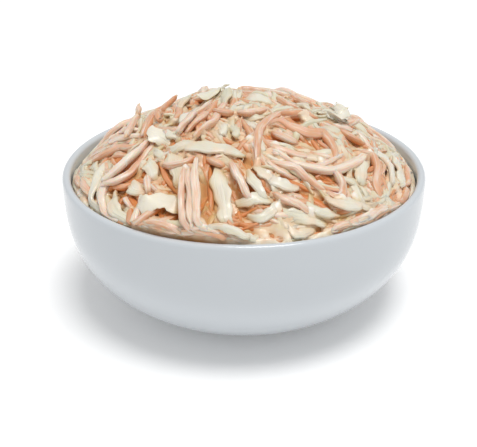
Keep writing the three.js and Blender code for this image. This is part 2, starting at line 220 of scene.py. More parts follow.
class Graph:
    """A material's nodes round one Principled shader."""

    def __init__(self, name: str, **constants: Any) -> None:
        """Starts a material.

        Args:
            name: the material's name.
            constants: what the shader's own sockets are set to, by name with _ for each space.
        """
        self.material = bpy.data.materials.new(name)
        self.material.use_nodes = True
        self.tree = self.material.node_tree
        self.tree.nodes.clear()
        self.shader = self.node("ShaderNodeBsdfPrincipled")
        output = self.node("ShaderNodeOutputMaterial")
        self.tree.links.new(self.shader.outputs[0], output.inputs["Surface"])
        for key, value in constants.items():
            self.shader.inputs[key.replace("_", " ")].default_value = value

    def node(
        self,
        kind: str,
        settings: dict[str, Any] | None = None,
        inputs: dict[Any, Any] | None = None,
    ) -> bpy.types.Node:
        """Adds a node.

        Args:
            kind: the node's type.
            settings: its own settings, set before its sockets.
            inputs: its sockets' values or links, by name or number.

        Returns:
            The node.
        """
        node = self.tree.nodes.new(kind)
        for key, value in (settings or {}).items():
            setattr(node, key, value)
        for key, value in (inputs or {}).items():
            self.feed(node, key, value)
        return node

    def feed(self, node: bpy.types.Node, key: Any, value: Any) -> None:
        """Sets a node's socket to a value, or links it.

        Args:
            node: the node.
            key: the socket's name or number.
            value: a number, a colour, a Value or a socket.
        """
        source = value.socket if isinstance(value, Value) else value
        if isinstance(source, bpy.types.NodeSocket):
            self.tree.links.new(source, node.inputs[key])
        else:
            node.inputs[key].default_value = source

    def finish(self, **links: Any) -> bpy.types.Material:
        """Feeds the shader what changes over the surface.

        Args:
            links: the sockets' links, by name with _ for each space.

        Returns:
            The material.
        """
        for key, value in links.items():
            self.feed(self.shader, key.replace("_", " "), value)
        return self.material

    def place(self) -> bpy.types.NodeSocket:
        """The place on the piece, in metres."""
        return self.node("ShaderNodeTexCoord").outputs["Object"]

    def clouds(self, place: bpy.types.NodeSocket, scale: float, detail: float) -> Value:
        """Cloudy noise between 0 and 1.

        Args:
            place: where the noise is read.
            scale: how many clouds there are to each unit of it.
            detail: how many finer layers are added.

        Returns:
            The noise.
        """
        inputs = {"Vector": place, "Scale": scale, "Detail": detail}
        return Value(self, self.node("ShaderNodeTexNoise", {}, inputs).outputs["Fac"])

    def noise(self, size: float, detail: float = 2.0) -> Value:
        """Cloudy noise over the piece, with clouds about a size in mm apart."""
        return self.clouds(self.place(), 1 / (size * MM), detail)

    def streaks(self, long: float, wide: float, detail: float = 2.0) -> Value:
        """Noise drawn out along each shred, on the mesh's "grain" attribute.

        Args:
            long: about how long the streaks are, in mm.
            wide: about how wide they are, in mm.
            detail: how many finer layers are added.

        Returns:
            The noise.
        """
        kept = self.node("ShaderNodeAttribute", {"attribute_name": "grain"}).outputs["Vector"]
        stretch = {"Vector": kept, "Scale": (1 / long, 1 / wide, 1 / wide)}
        return self.clouds(self.node("ShaderNodeMapping", {}, stretch).outputs[0], 1.0, detail)

    def traits(self) -> tuple[Value, Value, Value, Value]:
        """Reads the mesh's "traits" attribute.

        Returns:
            The four numbers that the mesh keeps at each point.
        """
        kept = self.node("ShaderNodeAttribute", {"attribute_name": "traits"})
        parts = self.node("ShaderNodeSeparateColor", {}, {0: kept.outputs["Color"]})
        first, second, third = (Value(self, parts.outputs[number]) for number in range(3))
        return first, second, third, Value(self, kept.outputs["Alpha"])

    def mix(self, share: Value, low: Any, high: Any) -> bpy.types.NodeSocket:
        """A colour between two: low where share is 0, high where it is 1.

        Args:
            share: how much of high there is.
            low: a colour or a colour socket.
            high: a colour or a colour socket.

        Returns:
            The mixed colour.
        """
        ends = [(*end, 1.0) if isinstance(end, tuple) else end for end in (low, high)]
        settings = {"data_type": "RGBA", "clamp_factor": True}
        return self.node("ShaderNodeMix", settings, {0: share, 6: ends[0], 7: ends[1]}).outputs[2]

    def bump(self, height: Value, depth: float) -> bpy.types.NodeSocket:
        """A normal bent by a height.

        Args:
            height: the height, from 0 to 1.
            depth: how many mm high 1 is.

        Returns:
            The normal.
        """
        inputs = {"Height": height, "Distance": depth * MM, "Strength": 1.0}
        return self.node("ShaderNodeBump", {}, inputs).outputs[0]


# ---- Finishes ------------------------------------------------------------------------------


@dataclass(frozen=True)
class Porcelain:
    """White glazed porcelain, bare on the ring that it stands on."""

    glaze: Colour = (0.60, 0.635, 0.665)
    bisque: Colour = (0.72, 0.70, 0.66)
    bare_up_to: Span = (0.3, 0.6)
    cloud_size: float = 30.0
    cloud_weight: float = 0.25
    cloud_shade: float = 0.97
    ripple_size: float = 14.0
    ripple_depth: float = 0.05
    glaze_rough: float = 0.13
    cloud_rough: float = 0.04
    bare_rough: float = 0.55

    def material(self) -> bpy.types.Material:
        """The glaze, with its faint waviness, and the bare foot ring.

        Returns:
            The material.
        """
        graph = Graph("porcelain")
        level = Value(graph, graph.node("ShaderNodeSeparateXYZ", {}, {0: graph.place()}).outputs[2])
        bare = 1 - level.step(*(limit * MM for limit in self.bare_up_to))
        cloud = graph.noise(self.cloud_size)
        shade = tuple(part * self.cloud_shade for part in self.glaze)
        glazed = graph.mix(cloud * self.cloud_weight, self.glaze, shade)
        return graph.finish(
            Base_Color=graph.mix(bare, glazed, self.bisque),
            Roughness=bare * self.bare_rough + self.glaze_rough + cloud * self.cloud_rough,
            Normal=graph.bump(graph.noise(self.ripple_size, detail=1.0), self.ripple_depth),
        )


@dataclass(frozen=True)
class DressedFlesh:
    """A cut vegetable under a film of creamy dressing, with painted shade in the gaps and on its sides. Sizes
    are in mm, and a span runs from none to all.
    """

    name: str
    pale: Colour
    strong: Colour
    # painted shade: the flesh's colour deep in the heap and on the strips' sides
    deep: Colour
    cream: Colour = (0.875, 0.805, 0.70)
    # painted shade: the cream's warm, darker colour deep in the heap
    cream_in_shade: Colour = (0.84, 0.60, 0.40)
    # painted shade: the colour of the deepest places
    pit_shade: Colour = (0.64, 0.34, 0.14)
    stain_colour: Colour = (0.82, 0.62, 0.45)
    scatter_colour: Colour = (1.0, 0.55, 0.3)
    scatter: float = 0.5
    scatter_reach: float = 0.5
    fibre_size: Span = (14.0, 0.8)
    patch_size: Span = (7.0, 2.4)
    stain_size: float = 9.0
    tone_weight: float = 0.8
    tone_by_fibre: float = 1.2
    film_least: float = 0.1
    film_off_edge: float = 0.1
    film_by_patch: float = 1.4
    film_by_fibre: float = 2.4
    # the cream thins with depth, so that the painted shade shows in the gaps
    film_off_in_shade: float = 0.7
    film_hides: Span = (0.0, 1.3)
    film_shines: Span = (0.0, 0.9)
    # painted shade: how deep the flesh darkens, and how much more on the strips' sides
    shade_deepens: Span = (0.1, 0.9)
    edge_shade_deepens: float = 0.3
    cream_shade_deepens: Span = (0.1, 0.8)
    # painted shade: how deep the cream turns warm
    stain_shows: Span = (0.5, 0.72)
    # painted shade: how deep the darkest places begin
    pit_shade_shows: Span = (0.7, 1.0)
    cover: float = 0.85
    stain: float = 0.0
    # painted shade: how far the deepest places darken
    pit_shade_weight: float = 0.5
    shine: float = 0.35
    least_rough: float = 0.32
    rough_by_fibre: float = 0.2
    relief: float = 0.3
    relief_share: float = 0.5

    def material(self) -> bpy.types.Material:
        """Flesh that runs from pale to strong, with painted shade that darkens and warms it deep in the gaps
        and on the strips' sides, and cream along the edges and in patches.

        Returns:
            The material. It reads the traits: tone, edge, coat and depth.
        """
        graph = Graph(
            self.name,
            Subsurface_Weight=self.scatter,
            Subsurface_Radius=self.scatter_colour,
            Subsurface_Scale=self.scatter_reach * MM,
            Coat_Roughness=0.12,
            IOR=1.42,
        )
        tone, edge, coat, depth = graph.traits()
        fibres = graph.streaks(*self.fibre_size, detail=3.0)
        patches = graph.streaks(*self.patch_size)
        strength = tone * self.tone_weight + fibres.swing(self.tone_by_fibre)
        flesh = graph.mix(strength, self.pale, self.strong)
        # painted shade: the flesh darkens towards its deep colour with depth in the heap and towards the
        # strip's sides
        sunk = graph.mix(depth.step(*self.shade_deepens) + edge * self.edge_shade_deepens, flesh, self.deep)
        film = coat + self.film_least - edge * self.film_off_edge + patches.swing(self.film_by_patch)
        # the cream thins with depth, so that the painted shade shows
        film = film + fibres.swing(self.film_by_fibre) - depth * self.film_off_in_shade
        hidden = film.step(*self.film_hides)
        # painted shade: the cream turns warm and darker with depth
        cream = graph.mix(depth.step(*self.cream_shade_deepens), self.cream, self.cream_in_shade)
        colour = graph.mix(hidden * self.cover, sunk, cream)
        stained = graph.noise(self.stain_size, detail=1.0).step(*self.stain_shows) * self.stain
        colour = graph.mix(stained, colour, self.stain_colour)
        # painted shade: the deepest places darken further
        colour = graph.mix(depth.step(*self.pit_shade_shows) * self.pit_shade_weight, colour, self.pit_shade)
        height = fibres * self.relief_share + hidden * (1 - self.relief_share)
        return graph.finish(
            Base_Color=colour,
            Roughness=self.least_rough + fibres * self.rough_by_fibre,
            Coat_Weight=film.step(*self.film_shines) * self.shine,
            Normal=graph.bump(height, self.relief),
        )


@dataclass(frozen=True)
class Dressing:
    """The creamy dressing between the shreds, tinted by what it covers, with painted shade in the gaps. Sizes
    are in mm.
    """

    cream: Colour = (0.88, 0.83, 0.74)
    drawn: Colour = (0.86, 0.77, 0.62)
    by_carrot: Colour = (0.80, 0.52, 0.33)
    by_cabbage: Colour = (0.77, 0.68, 0.46)
    # painted shade: the colour of the deep gaps
    deep: Colour = (0.64, 0.34, 0.14)
    scatter_colour: Colour = (1.0, 0.85, 0.65)
    scatter: float = 0.5
    scatter_reach: float = 0.5
    mottle_size: float = 2.5
    fleck_size: float = 3.5
    tint_by_fleck: float = 1.4
    film_covers: Span = (-0.3, 1.0)
    cover_by_mottle: float = 1.2
    # painted shade: with depth the cream gives way to the warm colour of the shreds under it
    shade_uncovers_from: Span = (0.1, 0.9)
    shade_uncovers: float = 0.7
    # painted shade: how deep the gaps darken
    shade_deepens: Span = (0.5, 0.95)
    least_rough: float = 0.32
    rough_by_mottle: float = 0.12
    least_shine: float = 0.15
    blob_shine: float = 0.4
    relief: float = 0.15

    def material(self) -> bpy.types.Material:
        """Cream that turns to the colour of the shreds under it as it thins, with painted shade: the shreds'
        warm colour shows through more with depth, and the gaps are painted darker.

        Returns:
            The material. It reads the traits: carrot share, film thickness, blob and depth.
        """
        graph = Graph(
            "dressing",
            Subsurface_Weight=self.scatter,
            Subsurface_Radius=self.scatter_colour,
            Subsurface_Scale=self.scatter_reach * MM,
            Coat_Roughness=0.08,
            IOR=1.45,
        )
        carrot, film, blob, depth = graph.traits()
        mottle = graph.noise(self.mottle_size, detail=3.0)
        flecks = graph.noise(self.fleck_size, detail=1.0)
        under = graph.mix(carrot + flecks.swing(self.tint_by_fleck), self.by_cabbage, self.by_carrot)
        # painted shade: with depth the cover falls off, so the shreds' warm colour shows
        covered = film.step(*self.film_covers) * (1 - depth.step(*self.shade_uncovers_from) * self.shade_uncovers)
        thin = graph.mix(covered + mottle.swing(self.cover_by_mottle), under, self.drawn)
        # painted shade: the gaps darken with depth
        sunk = graph.mix(depth.step(*self.shade_deepens), thin, self.deep)
        return graph.finish(
            Base_Color=graph.mix(blob, sunk, self.cream),
            Roughness=self.least_rough + mottle * self.rough_by_mottle,
            Coat_Weight=blob * self.blob_shine + self.least_shine,
            Normal=graph.bump(mottle, self.relief),
        )


# each flesh's deep colour is painted shade, for the gaps and the strips' sides
CARROT = DressedFlesh(
    name="dressed_carrot",
    pale=(0.81, 0.54, 0.37),
    strong=(0.63, 0.25, 0.09),
    deep=(0.67, 0.24, 0.07),
    scatter_colour=(1.0, 0.5, 0.25),
)
CABBAGE = DressedFlesh(
    name="dressed_cabbage",
    pale=(0.77, 0.745, 0.61),
    strong=(0.66, 0.62, 0.42),
    deep=(0.66, 0.44, 0.19),
    cream=(0.81, 0.77, 0.67),
    stain=0.6,
    scatter_colour=(1.0, 0.85, 0.6),
)
LEAF = DressedFlesh(
    name="dressed_leaf",
    pale=(0.77, 0.76, 0.63),
    strong=(0.64, 0.65, 0.43),
    deep=(0.62, 0.46, 0.20),
    cover=0.7,
    scatter_colour=(0.95, 0.9, 0.6),
)


# ---- Meshes --------------------------------------------------------------------------------


def make_piece(
    name: str,
    points: Array,
    faces: Array | list,
    material: bpy.types.Material,
    traits: Array | None = None,
    grain: Array | None = None,
) -> bpy.types.Object:
    """Makes a smooth piece of the object, riding on its only body.

    Args:
        name: the piece's name.
        points: its vertices in mm.
        faces: the vertex numbers of each face.
        material: its finish.
        traits: four numbers a vertex for the material to read.
        grain: a place along and across its own shred for each vertex, in mm.

    Returns:
        The piece.
    """
    mesh = bpy.data.meshes.new(name)
    mesh.from_pydata((np.asarray(points) * MM).tolist(), [], [list(map(int, face)) for face in faces])
    if traits is not None:
        kept = mesh.attributes.new("traits", "FLOAT_COLOR", "POINT")
        kept.data.foreach_set("color", np.asarray(traits, np.float32).ravel())
    if grain is not None:
        kept = mesh.attributes.new("grain", "FLOAT_VECTOR", "POINT")
        kept.data.foreach_set("vector", np.asarray(grain, np.float32).ravel())
    mesh.materials.append(material)
    mesh.shade_smooth()
    mesh.update()
    piece = bpy.data.objects.new(name, mesh)
    bpy.context.scene.collection.objects.link(piece)
    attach(piece, BODY)
    LOG.info("%s: %d faces", name, len(mesh.polygons))
    return piece


def surface_net(values: Array) -> tuple[Array, Array]:
    """Meshes the surface where a field of values is zero, with one vertex in each cell that it crosses.

    Args:
        values: the field at the points of a grid, negative inside.

    Returns:
        The vertices, in cells from the grid's first point, and the quads.
    """
    inside = values < 0
    cells_shape = tuple(size - 1 for size in values.shape)
    corners = list(itertools.product((0, 1), repeat=3))
    windows = [tuple(slice(c, c + size) for c, size in zip(corner, cells_shape)) for corner in corners]
    filled = sum(inside[window].astype(np.int8) for window in windows)
    mixed = (filled > 0) & (filled < len(corners))
    cells = np.argwhere(mixed)
    number = np.full(cells_shape, -1, np.int32)
    number[mixed] = np.arange(len(cells))
    held = np.stack([values[window][mixed] for window in windows], 1)
    total, hits = np.zeros((len(cells), 3)), np.zeros(len(cells))
    for (a, low), (b, high) in itertools.combinations(enumerate(corners), 2):
        along = np.subtract(high, low)
        if np.abs(along).sum() != 1:
            continue
        crossed = (held[:, a] < 0) != (held[:, b] < 0)
        share = np.where(crossed, held[:, a] / np.where(crossed, held[:, a] - held[:, b], 1), 0)
        total += crossed[:, None] * (np.array(low) + share[:, None] * along)
        hits += crossed
    quads = []
    for axis in range(3):
        ahead, aside = (axis + 1) % 3, (axis + 2) % 3
        near, far = [slice(None)] * 3, [slice(None)] * 3
        near[axis], far[axis] = slice(0, -1), slice(1, None)
        crossings = np.argwhere(inside[tuple(near)] != inside[tuple(far)])
        fits = np.all([crossings[:, k] > 0 for k in (ahead, aside)], 0)
        fits &= np.all([crossings[:, k] < cells_shape[k] for k in (ahead, aside)], 0)
        crossings = crossings[fits]
        steps = np.eye(3, dtype=int)[[ahead, aside]]
        ring = [crossings - steps[0] - steps[1], crossings - steps[1], crossings, crossings - steps[0]]
        quad = np.stack([number[tuple(cell.T)] for cell in ring], 1)
        outwards = inside[tuple(crossings.T)]
        quads.append(np.where(outwards[:, None], quad, quad[:, ::-1]))
    return cells + total / hits[:, None], np.concatenate(quads)


# ---- The bowl ------------------------------------------------------------------------------


@dataclass(frozen=True)
class Bowl:
    """The porcelain bowl: a foot ring, a full round side and a rounded lip."""

    rim_radius: float
    height: float
    foot_radius: float = 41.0
    foot_width: float = 3.5
    foot_recess: float = 1.5
    foot_bevel: float = 0.5
    wall: float = 3.4
    base: float = 5.0
    floor_round: Span = (1.0, 0.4)
    fullness: float = 3.35
    side_rows: int = 44
    side_crowding: float = 1.7
    lip_rows: int = 12
    lip_clear: float = 0.2
    segments: int = 192
    finish: Porcelain = Porcelain()

    def outer_face(self, share: Array) -> Array:
        """Points of the side's outer face.

        Args:
            share: 0 at the foot to 1 at the rim.

        Returns:
            A radius and a level for each.
        """
        turn = np.clip(share, 0, 1) * math.pi / 2
        radius = self.foot_radius + (self.rim_radius - self.foot_radius) * np.sin(turn) ** 2
        level = self.height * (1 - np.abs(np.cos(turn)) ** (2 / self.fullness))
        return np.stack([radius, level], -1)

    def side(self, share: Array, depth: float, step: float = 1e-3) -> Array:
        """Points of the side from its foot to the rim.

        Args:
            share: 0 at the foot to 1 at the rim.
            depth: how far inside the outer face, in mm.
            step: how much of the share the slope is taken over, each way.

        Returns:
            A radius and a level for each.
        """
        along = unit(self.outer_face(share + step) - self.outer_face(share - step))
        return self.outer_face(share) + depth * np.stack([-along[..., 1], along[..., 0]], -1)

    def side_rows_at(self, depth: float = 0.0) -> Array:
        """The rows of the side to just under the lip, closer together towards it.

        Args:
            depth: how far inside the outer face, in mm.

        Returns:
            A radius and a level for each row.
        """
        shares = 1 - (1 - np.linspace(0, 1, self.side_rows + 1)) ** self.side_crowding
        rows = self.side(shares, depth)
        return rows[rows[:, 1] < self.height - self.wall / 2 - self.lip_clear]

    def room(self, level: Array, gap: float) -> Array:
        """The radius inside the wall at a level.

        Args:
            level: the level in mm.
            gap: how far off the wall, in mm.

        Returns:
            The radius at each level.
        """
        rows = self.side_rows_at(self.wall + gap)
        return np.interp(level, rows[:, 1], rows[:, 0], right=self.rim_radius - self.wall - gap)

    def profile(self) -> Array:
        """The half section, from the middle of the underside round to the middle of the floor.

        Returns:
            A radius and a level for each of its points.
        """
        lip_radius = self.wall / 2
        turn = np.linspace(0, math.pi, self.lip_rows + 1)
        out = self.rim_radius - lip_radius + lip_radius * np.cos(turn)
        up = lip_radius * np.sin(turn) + (self.height - lip_radius)
        inset, rise = self.floor_round
        inner = self.side_rows_at(self.wall)
        inner = inner[inner[:, 1] > self.base + rise][::-1]
        floor_radius = float(self.room(np.array(self.base), 0.0)) - inset
        ring = self.foot_radius - self.foot_width
        foot = [
            (0, self.foot_recess),
            (ring - self.foot_recess, self.foot_recess),
            (ring - self.foot_bevel, self.foot_bevel),
            (ring, 0),
            (self.foot_radius - self.foot_bevel, 0),
        ]
        floor = [(floor_radius, self.base), (0, self.base)]
        return np.concatenate([foot, self.side_rows_at(), np.stack([out, up], 1), inner, floor])

    def build(self) -> bpy.types.Object:
        """Turns the half section round the axis.

        Returns:
            The piece.
        """
        profile = self.profile()
        angles = np.arange(self.segments) / self.segments * 2 * math.pi
        out, up = profile[1:-1].T
        levels = np.tile(up, (self.segments, 1))
        rings = np.stack([np.outer(np.cos(angles), out), np.outer(np.sin(angles), out), levels], -1)
        poles = [[0, 0, profile[0, 1]], [0, 0, profile[-1, 1]]]
        points = np.concatenate([rings.reshape(-1, 3), poles])
        kept = len(out)
        under, over = len(points) - 2, len(points) - 1
        faces: list[tuple[int, ...]] = []
        for column in range(self.segments):
            here, there = column * kept, (column + 1) % self.segments * kept
            faces += [(here + r, there + r, there + r + 1, here + r + 1) for r in range(kept - 1)]
            faces.append((under, there, here))
            faces.append((over, here + kept - 1, there + kept - 1))
        piece = make_piece("porcelain_bowl", points, faces, self.finish.material())
        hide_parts("bowl")
        return piece


# ---- The heap ------------------------------------------------------------------------------


@dataclass(frozen=True)
class Mound:
    """The rounded mound that the shreds lie on."""

    radius: float
    crown: float = 84.5
    edge_level: float = 52.0
    edge_tilt: float = 4.1
    back_dip: float = 3.4
    power: float = 2.2
    shoulder: float = 0.85
    lump: float = 0.9
    lump_sizes: tuple[float, float, float] = (6.1, 7.3, 10.7)
    lump_shifts: Span = (1.3, 0.4)
    lump_fade: int = 4

    def edge(self, angle: Array) -> Array:
        """The level at which the mound meets the wall, higher at the front and lower at the back."""
        side = np.sin(angle)
        return self.edge_level - self.edge_tilt * side - self.back_dip * np.maximum(0, side) ** 3

    def level(self, x: Array, y: Array) -> Array:
        """The mound's level over the plan.

        Args:
            x: places of the plan in mm.
            y: places of the plan in mm.

        Returns:
            The level at each place, in mm.
        """
        share = np.minimum(np.hypot(x, y) / self.radius, 1)
        edge = self.edge(np.arctan2(y, x))
        wide, deep, slant = self.lump_sizes
        right, back = self.lump_shifts
        lumps = np.sin(x / wide + right) * np.cos(y / deep - back) + np.sin((x + y) / slant)
        dome = (1 - share**self.power) ** self.shoulder
        return edge + (self.crown - edge) * dome + self.lump * lumps * (1 - share**self.lump_fade)

    def normal(self, x: Array, y: Array, step: float = 0.4) -> Array:
        """The mound's normals over the plan.

        Args:
            x: places of the plan in mm.
            y: places of the plan in mm.
            step: how far each way the slope is taken over, in mm.

        Returns:
            A unit vector for each place.
        """
        slope_x = (self.level(x + step, y) - self.level(x - step, y)) / (2 * step)
        slope_y = (self.level(x, y + step) - self.level(x, y - step)) / (2 * step)
        return unit(np.stack([-slope_x, -slope_y, np.ones_like(slope_x)], -1))

    def height(self, points: Array) -> Array:
        """How far places are above the mound, measured about square to it."""
        x, y = points[:, 0], points[:, 1]
        return (points[:, 2] - self.level(x, y)) * self.normal(x, y)[:, 2]


class Cut(Enum):
    """What a shred is cut from."""

    CARROT = "carrot"
    CABBAGE = "cabbage"
    LEAF = "leaf"


@dataclass(frozen=True)
class CutShape:
    """How a kind of shred is shaped and how it bends."""

    thickness: float
    limpness: float
    taper: float
    ruffle: float
    twist: float
    squareness: float
    sides: int
    ragged: float


CUT_SHAPES = {
    Cut.CARROT: CutShape(
        thickness=2.1, limpness=0.035, taper=0.55, ruffle=0.0,
        twist=0.35, squareness=0.55, sides=10, ragged=0.05,
    ),
    Cut.CABBAGE: CutShape(
        thickness=1.1, limpness=0.05, taper=0.45, ruffle=0.45,
        twist=0.35, squareness=0.7, sides=12, ragged=0.15,
    ),
    Cut.LEAF: CutShape(
        thickness=0.9, limpness=0.05, taper=0.5, ruffle=0.8,
        twist=0.2, squareness=0.8, sides=24, ragged=0.16,
    ),
}


@dataclass
class Shred:
    """One shred: what it is, its route in plan, and once it is laid, where it lies."""

    cut: Cut
    width: float
    plan: Plan
    coat: float = 0.5
    rise: Span = (0.0, 0.0)
    fine: bool = True
    place: Array = field(init=False)
    normal: Array = field(init=False)
    across: Array = field(init=False)
    middle: Array = field(init=False)
    held: Array = field(init=False)

    @property
    def shape(self) -> CutShape:
        """How this kind of shred is shaped."""
        return CUT_SHAPES[self.cut]

    def route(self, count: int, least_gap: float = 1e-4) -> Array:
        """Points along the smooth plan route.

        Args:
            count: how many points.
            least_gap: what keeps two knots apart, in mm.

        Returns:
            Their plan places, on a centripetal Catmull-Rom curve through the plan points.
        """
        knots = np.array(self.plan, float)
        knots = np.concatenate([[2 * knots[0] - knots[1]], knots, [2 * knots[-1] - knots[-2]]])
        spans = len(self.plan) - 1
        at = np.linspace(0, spans, count)
        span = np.minimum(at.astype(int), spans - 1)
        share = (at - span)[:, None]
        p0, p1, p2, p3 = (knots[span + k] for k in range(4))
        steps = (p1 - p0, p2 - p1, p3 - p2)
        d0, d1, d2 = (np.maximum(np.linalg.norm(way, axis=1), least_gap)[:, None] ** 0.5 for way in steps)
        start = ((p1 - p0) / d0 - (p2 - p0) / (d0 + d1) + (p2 - p1) / d1) * d1
        end = ((p2 - p1) / d1 - (p3 - p1) / (d1 + d2) + (p3 - p2) / d2) * d1
        c2 = -3 * p1 + 3 * p2 - 2 * start - end
        c3 = 2 * p1 - 2 * p2 + start + end
        return p1 + start * share + c2 * share**2 + c3 * share**3

    def follow(self, mound: Mound, plan: Array) -> None:
        """Sets the shred's stations on the mound.

        Args:
            mound: the mound.
            plan: the plan place of each station, in mm.
        """
        x, y = plan[:, 0], plan[:, 1]
        self.place = np.column_stack([plan, mound.level(x, y)])
        self.normal = mound.normal(x, y)
        self.across = unit(np.cross(self.normal, np.gradient(self.place, axis=0)))


class Pile:
    """How high the shreds have piled up over the mound, cell by cell of the plan."""

    strips = np.array([-0.5, -0.25, 0, 0.25, 0.5])
    dive = 1.7
    dive_reach = 5.5
    dodge = 3.0
    blur_reach = 3.0

    def __init__(self, reach: float, cell: float = 1.0) -> None:
        """Starts flat.

        Args:
            reach: the plan's half width in mm.
            cell: the cells' size in mm.
        """
        self.cell = cell
        self.middle = int(reach / cell) + 2
        self.heights = np.zeros((2 * self.middle + 1,) * 2)

    def _cells(self, x: Array, y: Array) -> tuple[Array, Array]:
        """The cells that places fall in.

        Args:
            x: places of the plan in mm.
            y: places of the plan in mm.

        Returns:
            The cells' rows and columns.
        """
        rows, columns = (np.floor(v / self.cell + 0.5).astype(int) + self.middle for v in (x, y))
        limit = 2 * self.middle
        return np.clip(rows, 0, limit), np.clip(columns, 0, limit)

    def height(self, x: Array, y: Array) -> Array:
        """The height at places of the plan."""
        return self.heights[self._cells(x, y)]

    def with_heights(self, heights: Array) -> "Pile":
        """A pile of the same size with other heights.

        Args:
            heights: the height of each cell in mm.

        Returns:
            The new pile.
        """
        other = copy.copy(self)
        other.heights = heights
        return other

    def raised(self, step: float) -> "Pile":
        """A copy of the pile, raised by a step in mm."""
        return self.with_heights(self.heights + step)

    def smoothed(self, spread: float) -> "Pile":
        """A copy of the pile with its heights blurred.

        Args:
            spread: how far the blur reaches, in mm.

        Returns:
            The blurred pile.
        """
        half = int(math.ceil(self.blur_reach * spread / self.cell))
        weights = np.exp(-0.5 * (np.arange(-half, half + 1) * self.cell / spread) ** 2)
        heights = self.heights
        for _ in range(2):
            padded = np.pad(heights, ((half, half), (0, 0)), mode="edge")
            rows = (weight * padded[k : k + len(heights)] for k, weight in enumerate(weights))
            heights = (sum(rows) / weights.sum()).T
        return self.with_heights(heights)

    def lowest(self, reach: int) -> "Pile":
        """A copy of the pile with each cell as low as the lowest one near it.

        Args:
            reach: how many cells away is near.

        Returns:
            The lowered pile.
        """
        padded = np.pad(self.heights, reach, mode="edge")
        size = len(self.heights)
        steps = itertools.product(range(2 * reach + 1), repeat=2)
        return self.with_heights(np.min([padded[i : i + size, j : j + size] for i, j in steps], axis=0))

    def places(self) -> tuple[Array, Array]:
        """The plan places of the cells."""
        along = (np.arange(len(self.heights)) - self.middle) * self.cell
        return tuple(np.meshgrid(along, along, indexing="ij"))

    def between_cells(self, x: Array, y: Array) -> Array:
        """The height at places of the plan, interpolated between the cells.

        Args:
            x: places of the plan in mm.
            y: places of the plan in mm.

        Returns:
            The height at each place, in mm.
        """
        limit = 2 * self.middle - TINY
        rows, columns = (np.clip(v / self.cell + self.middle, 0, limit) for v in (x, y))
        i, j = rows.astype(int), columns.astype(int)
        u, v = rows - i, columns - j
        low = self.heights[i, j] * (1 - v) + self.heights[i, j + 1] * v
        high = self.heights[i + 1, j] * (1 - v) + self.heights[i + 1, j + 1] * v
        return low * (1 - u) + high * u

    def under(self, shred: Shred) -> tuple[Array, Array]:
        """The plan places under a shred: a row for each station, a column for each strip of its width."""
        aside = self.strips * shred.width
        return tuple(shred.place[:, k, None] + shred.across[:, k, None] * aside for k in (0, 1))

    def rest(self, shred: Shred, press: float, ceiling: "Pile | None" = None) -> None:
        """Rests a shred on what is highest under it. It bends down only as its limpness lets it.

        Args:
            shred: the shred, with its stations set.
            press: how far it sinks into what it lies on, in mm.
            ceiling: the heights that its upper side stays under, if any. It bends to pass under them.
        """
        x, y = self.under(shred)
        thickness, limpness = shred.shape.thickness, shred.shape.limpness
        apart = np.linalg.norm(shred.place[:, None] - shred.place[None], axis=-1)
        held = (self.height(x, y).max(1)[None] - limpness * apart**2).max(1) - press
        if ceiling is not None:
            lid = ceiling.height(x, y).min(1)
            held = np.minimum(held, (lid[None] + self.dodge * limpness * apart**2).min(1) - thickness)
        share = np.linspace(0, 1, len(held))
        lift = shred.rise[0] * (1 - share) ** 3 + shred.rise[1] * share**3
        if shred.fine:
            length = np.linalg.norm(np.diff(shred.place, axis=0), axis=1).sum()
            for end, rise in ((share, shred.rise[0]), (1 - share, shred.rise[1])):
                lift = lift - (rise == 0) * self.dive * (1 - smooth(end * length, 0, self.dive_reach))
        shred.held = held
        shred.middle = shred.place + shred.normal * (held + lift + thickness / 2)[:, None]

    def add(self, shred: Shred) -> None:
        """Adds a resting shred to the pile, nowhere lowering it."""
        top = (shred.held + shred.shape.thickness)[:, None] + 0 * self.strips
        np.maximum.at(self.heights, self._cells(*self.under(shred)), top)


@dataclass(frozen=True)
class Handful:
    """The sizes of the shreds that are strewn. Each span is the least, and how much the highest draw adds."""

    carrot_width: Span
    cabbage_width: Span
    reach: Span
    coat: Span
    carrot_share: float = 0.55

    def draw(self, cut: Cut, size: float, long: float, coat: float) -> tuple[float, float, float]:
        """The size of one shred.

        Args:
            cut: what it is cut from.
            size: a draw for its width.
            long: a draw for its length.
            coat: a draw for its coat.

        Returns:
            Its width and half its length in mm, and its coat.
        """
        width = self.carrot_width if cut is Cut.CARROT else self.cabbage_width
        pairs = ((width, size), (self.reach, long), (self.coat, coat))
        first, second, third = (least + more * drawn for (least, more), drawn in pairs)
        return first, second, third


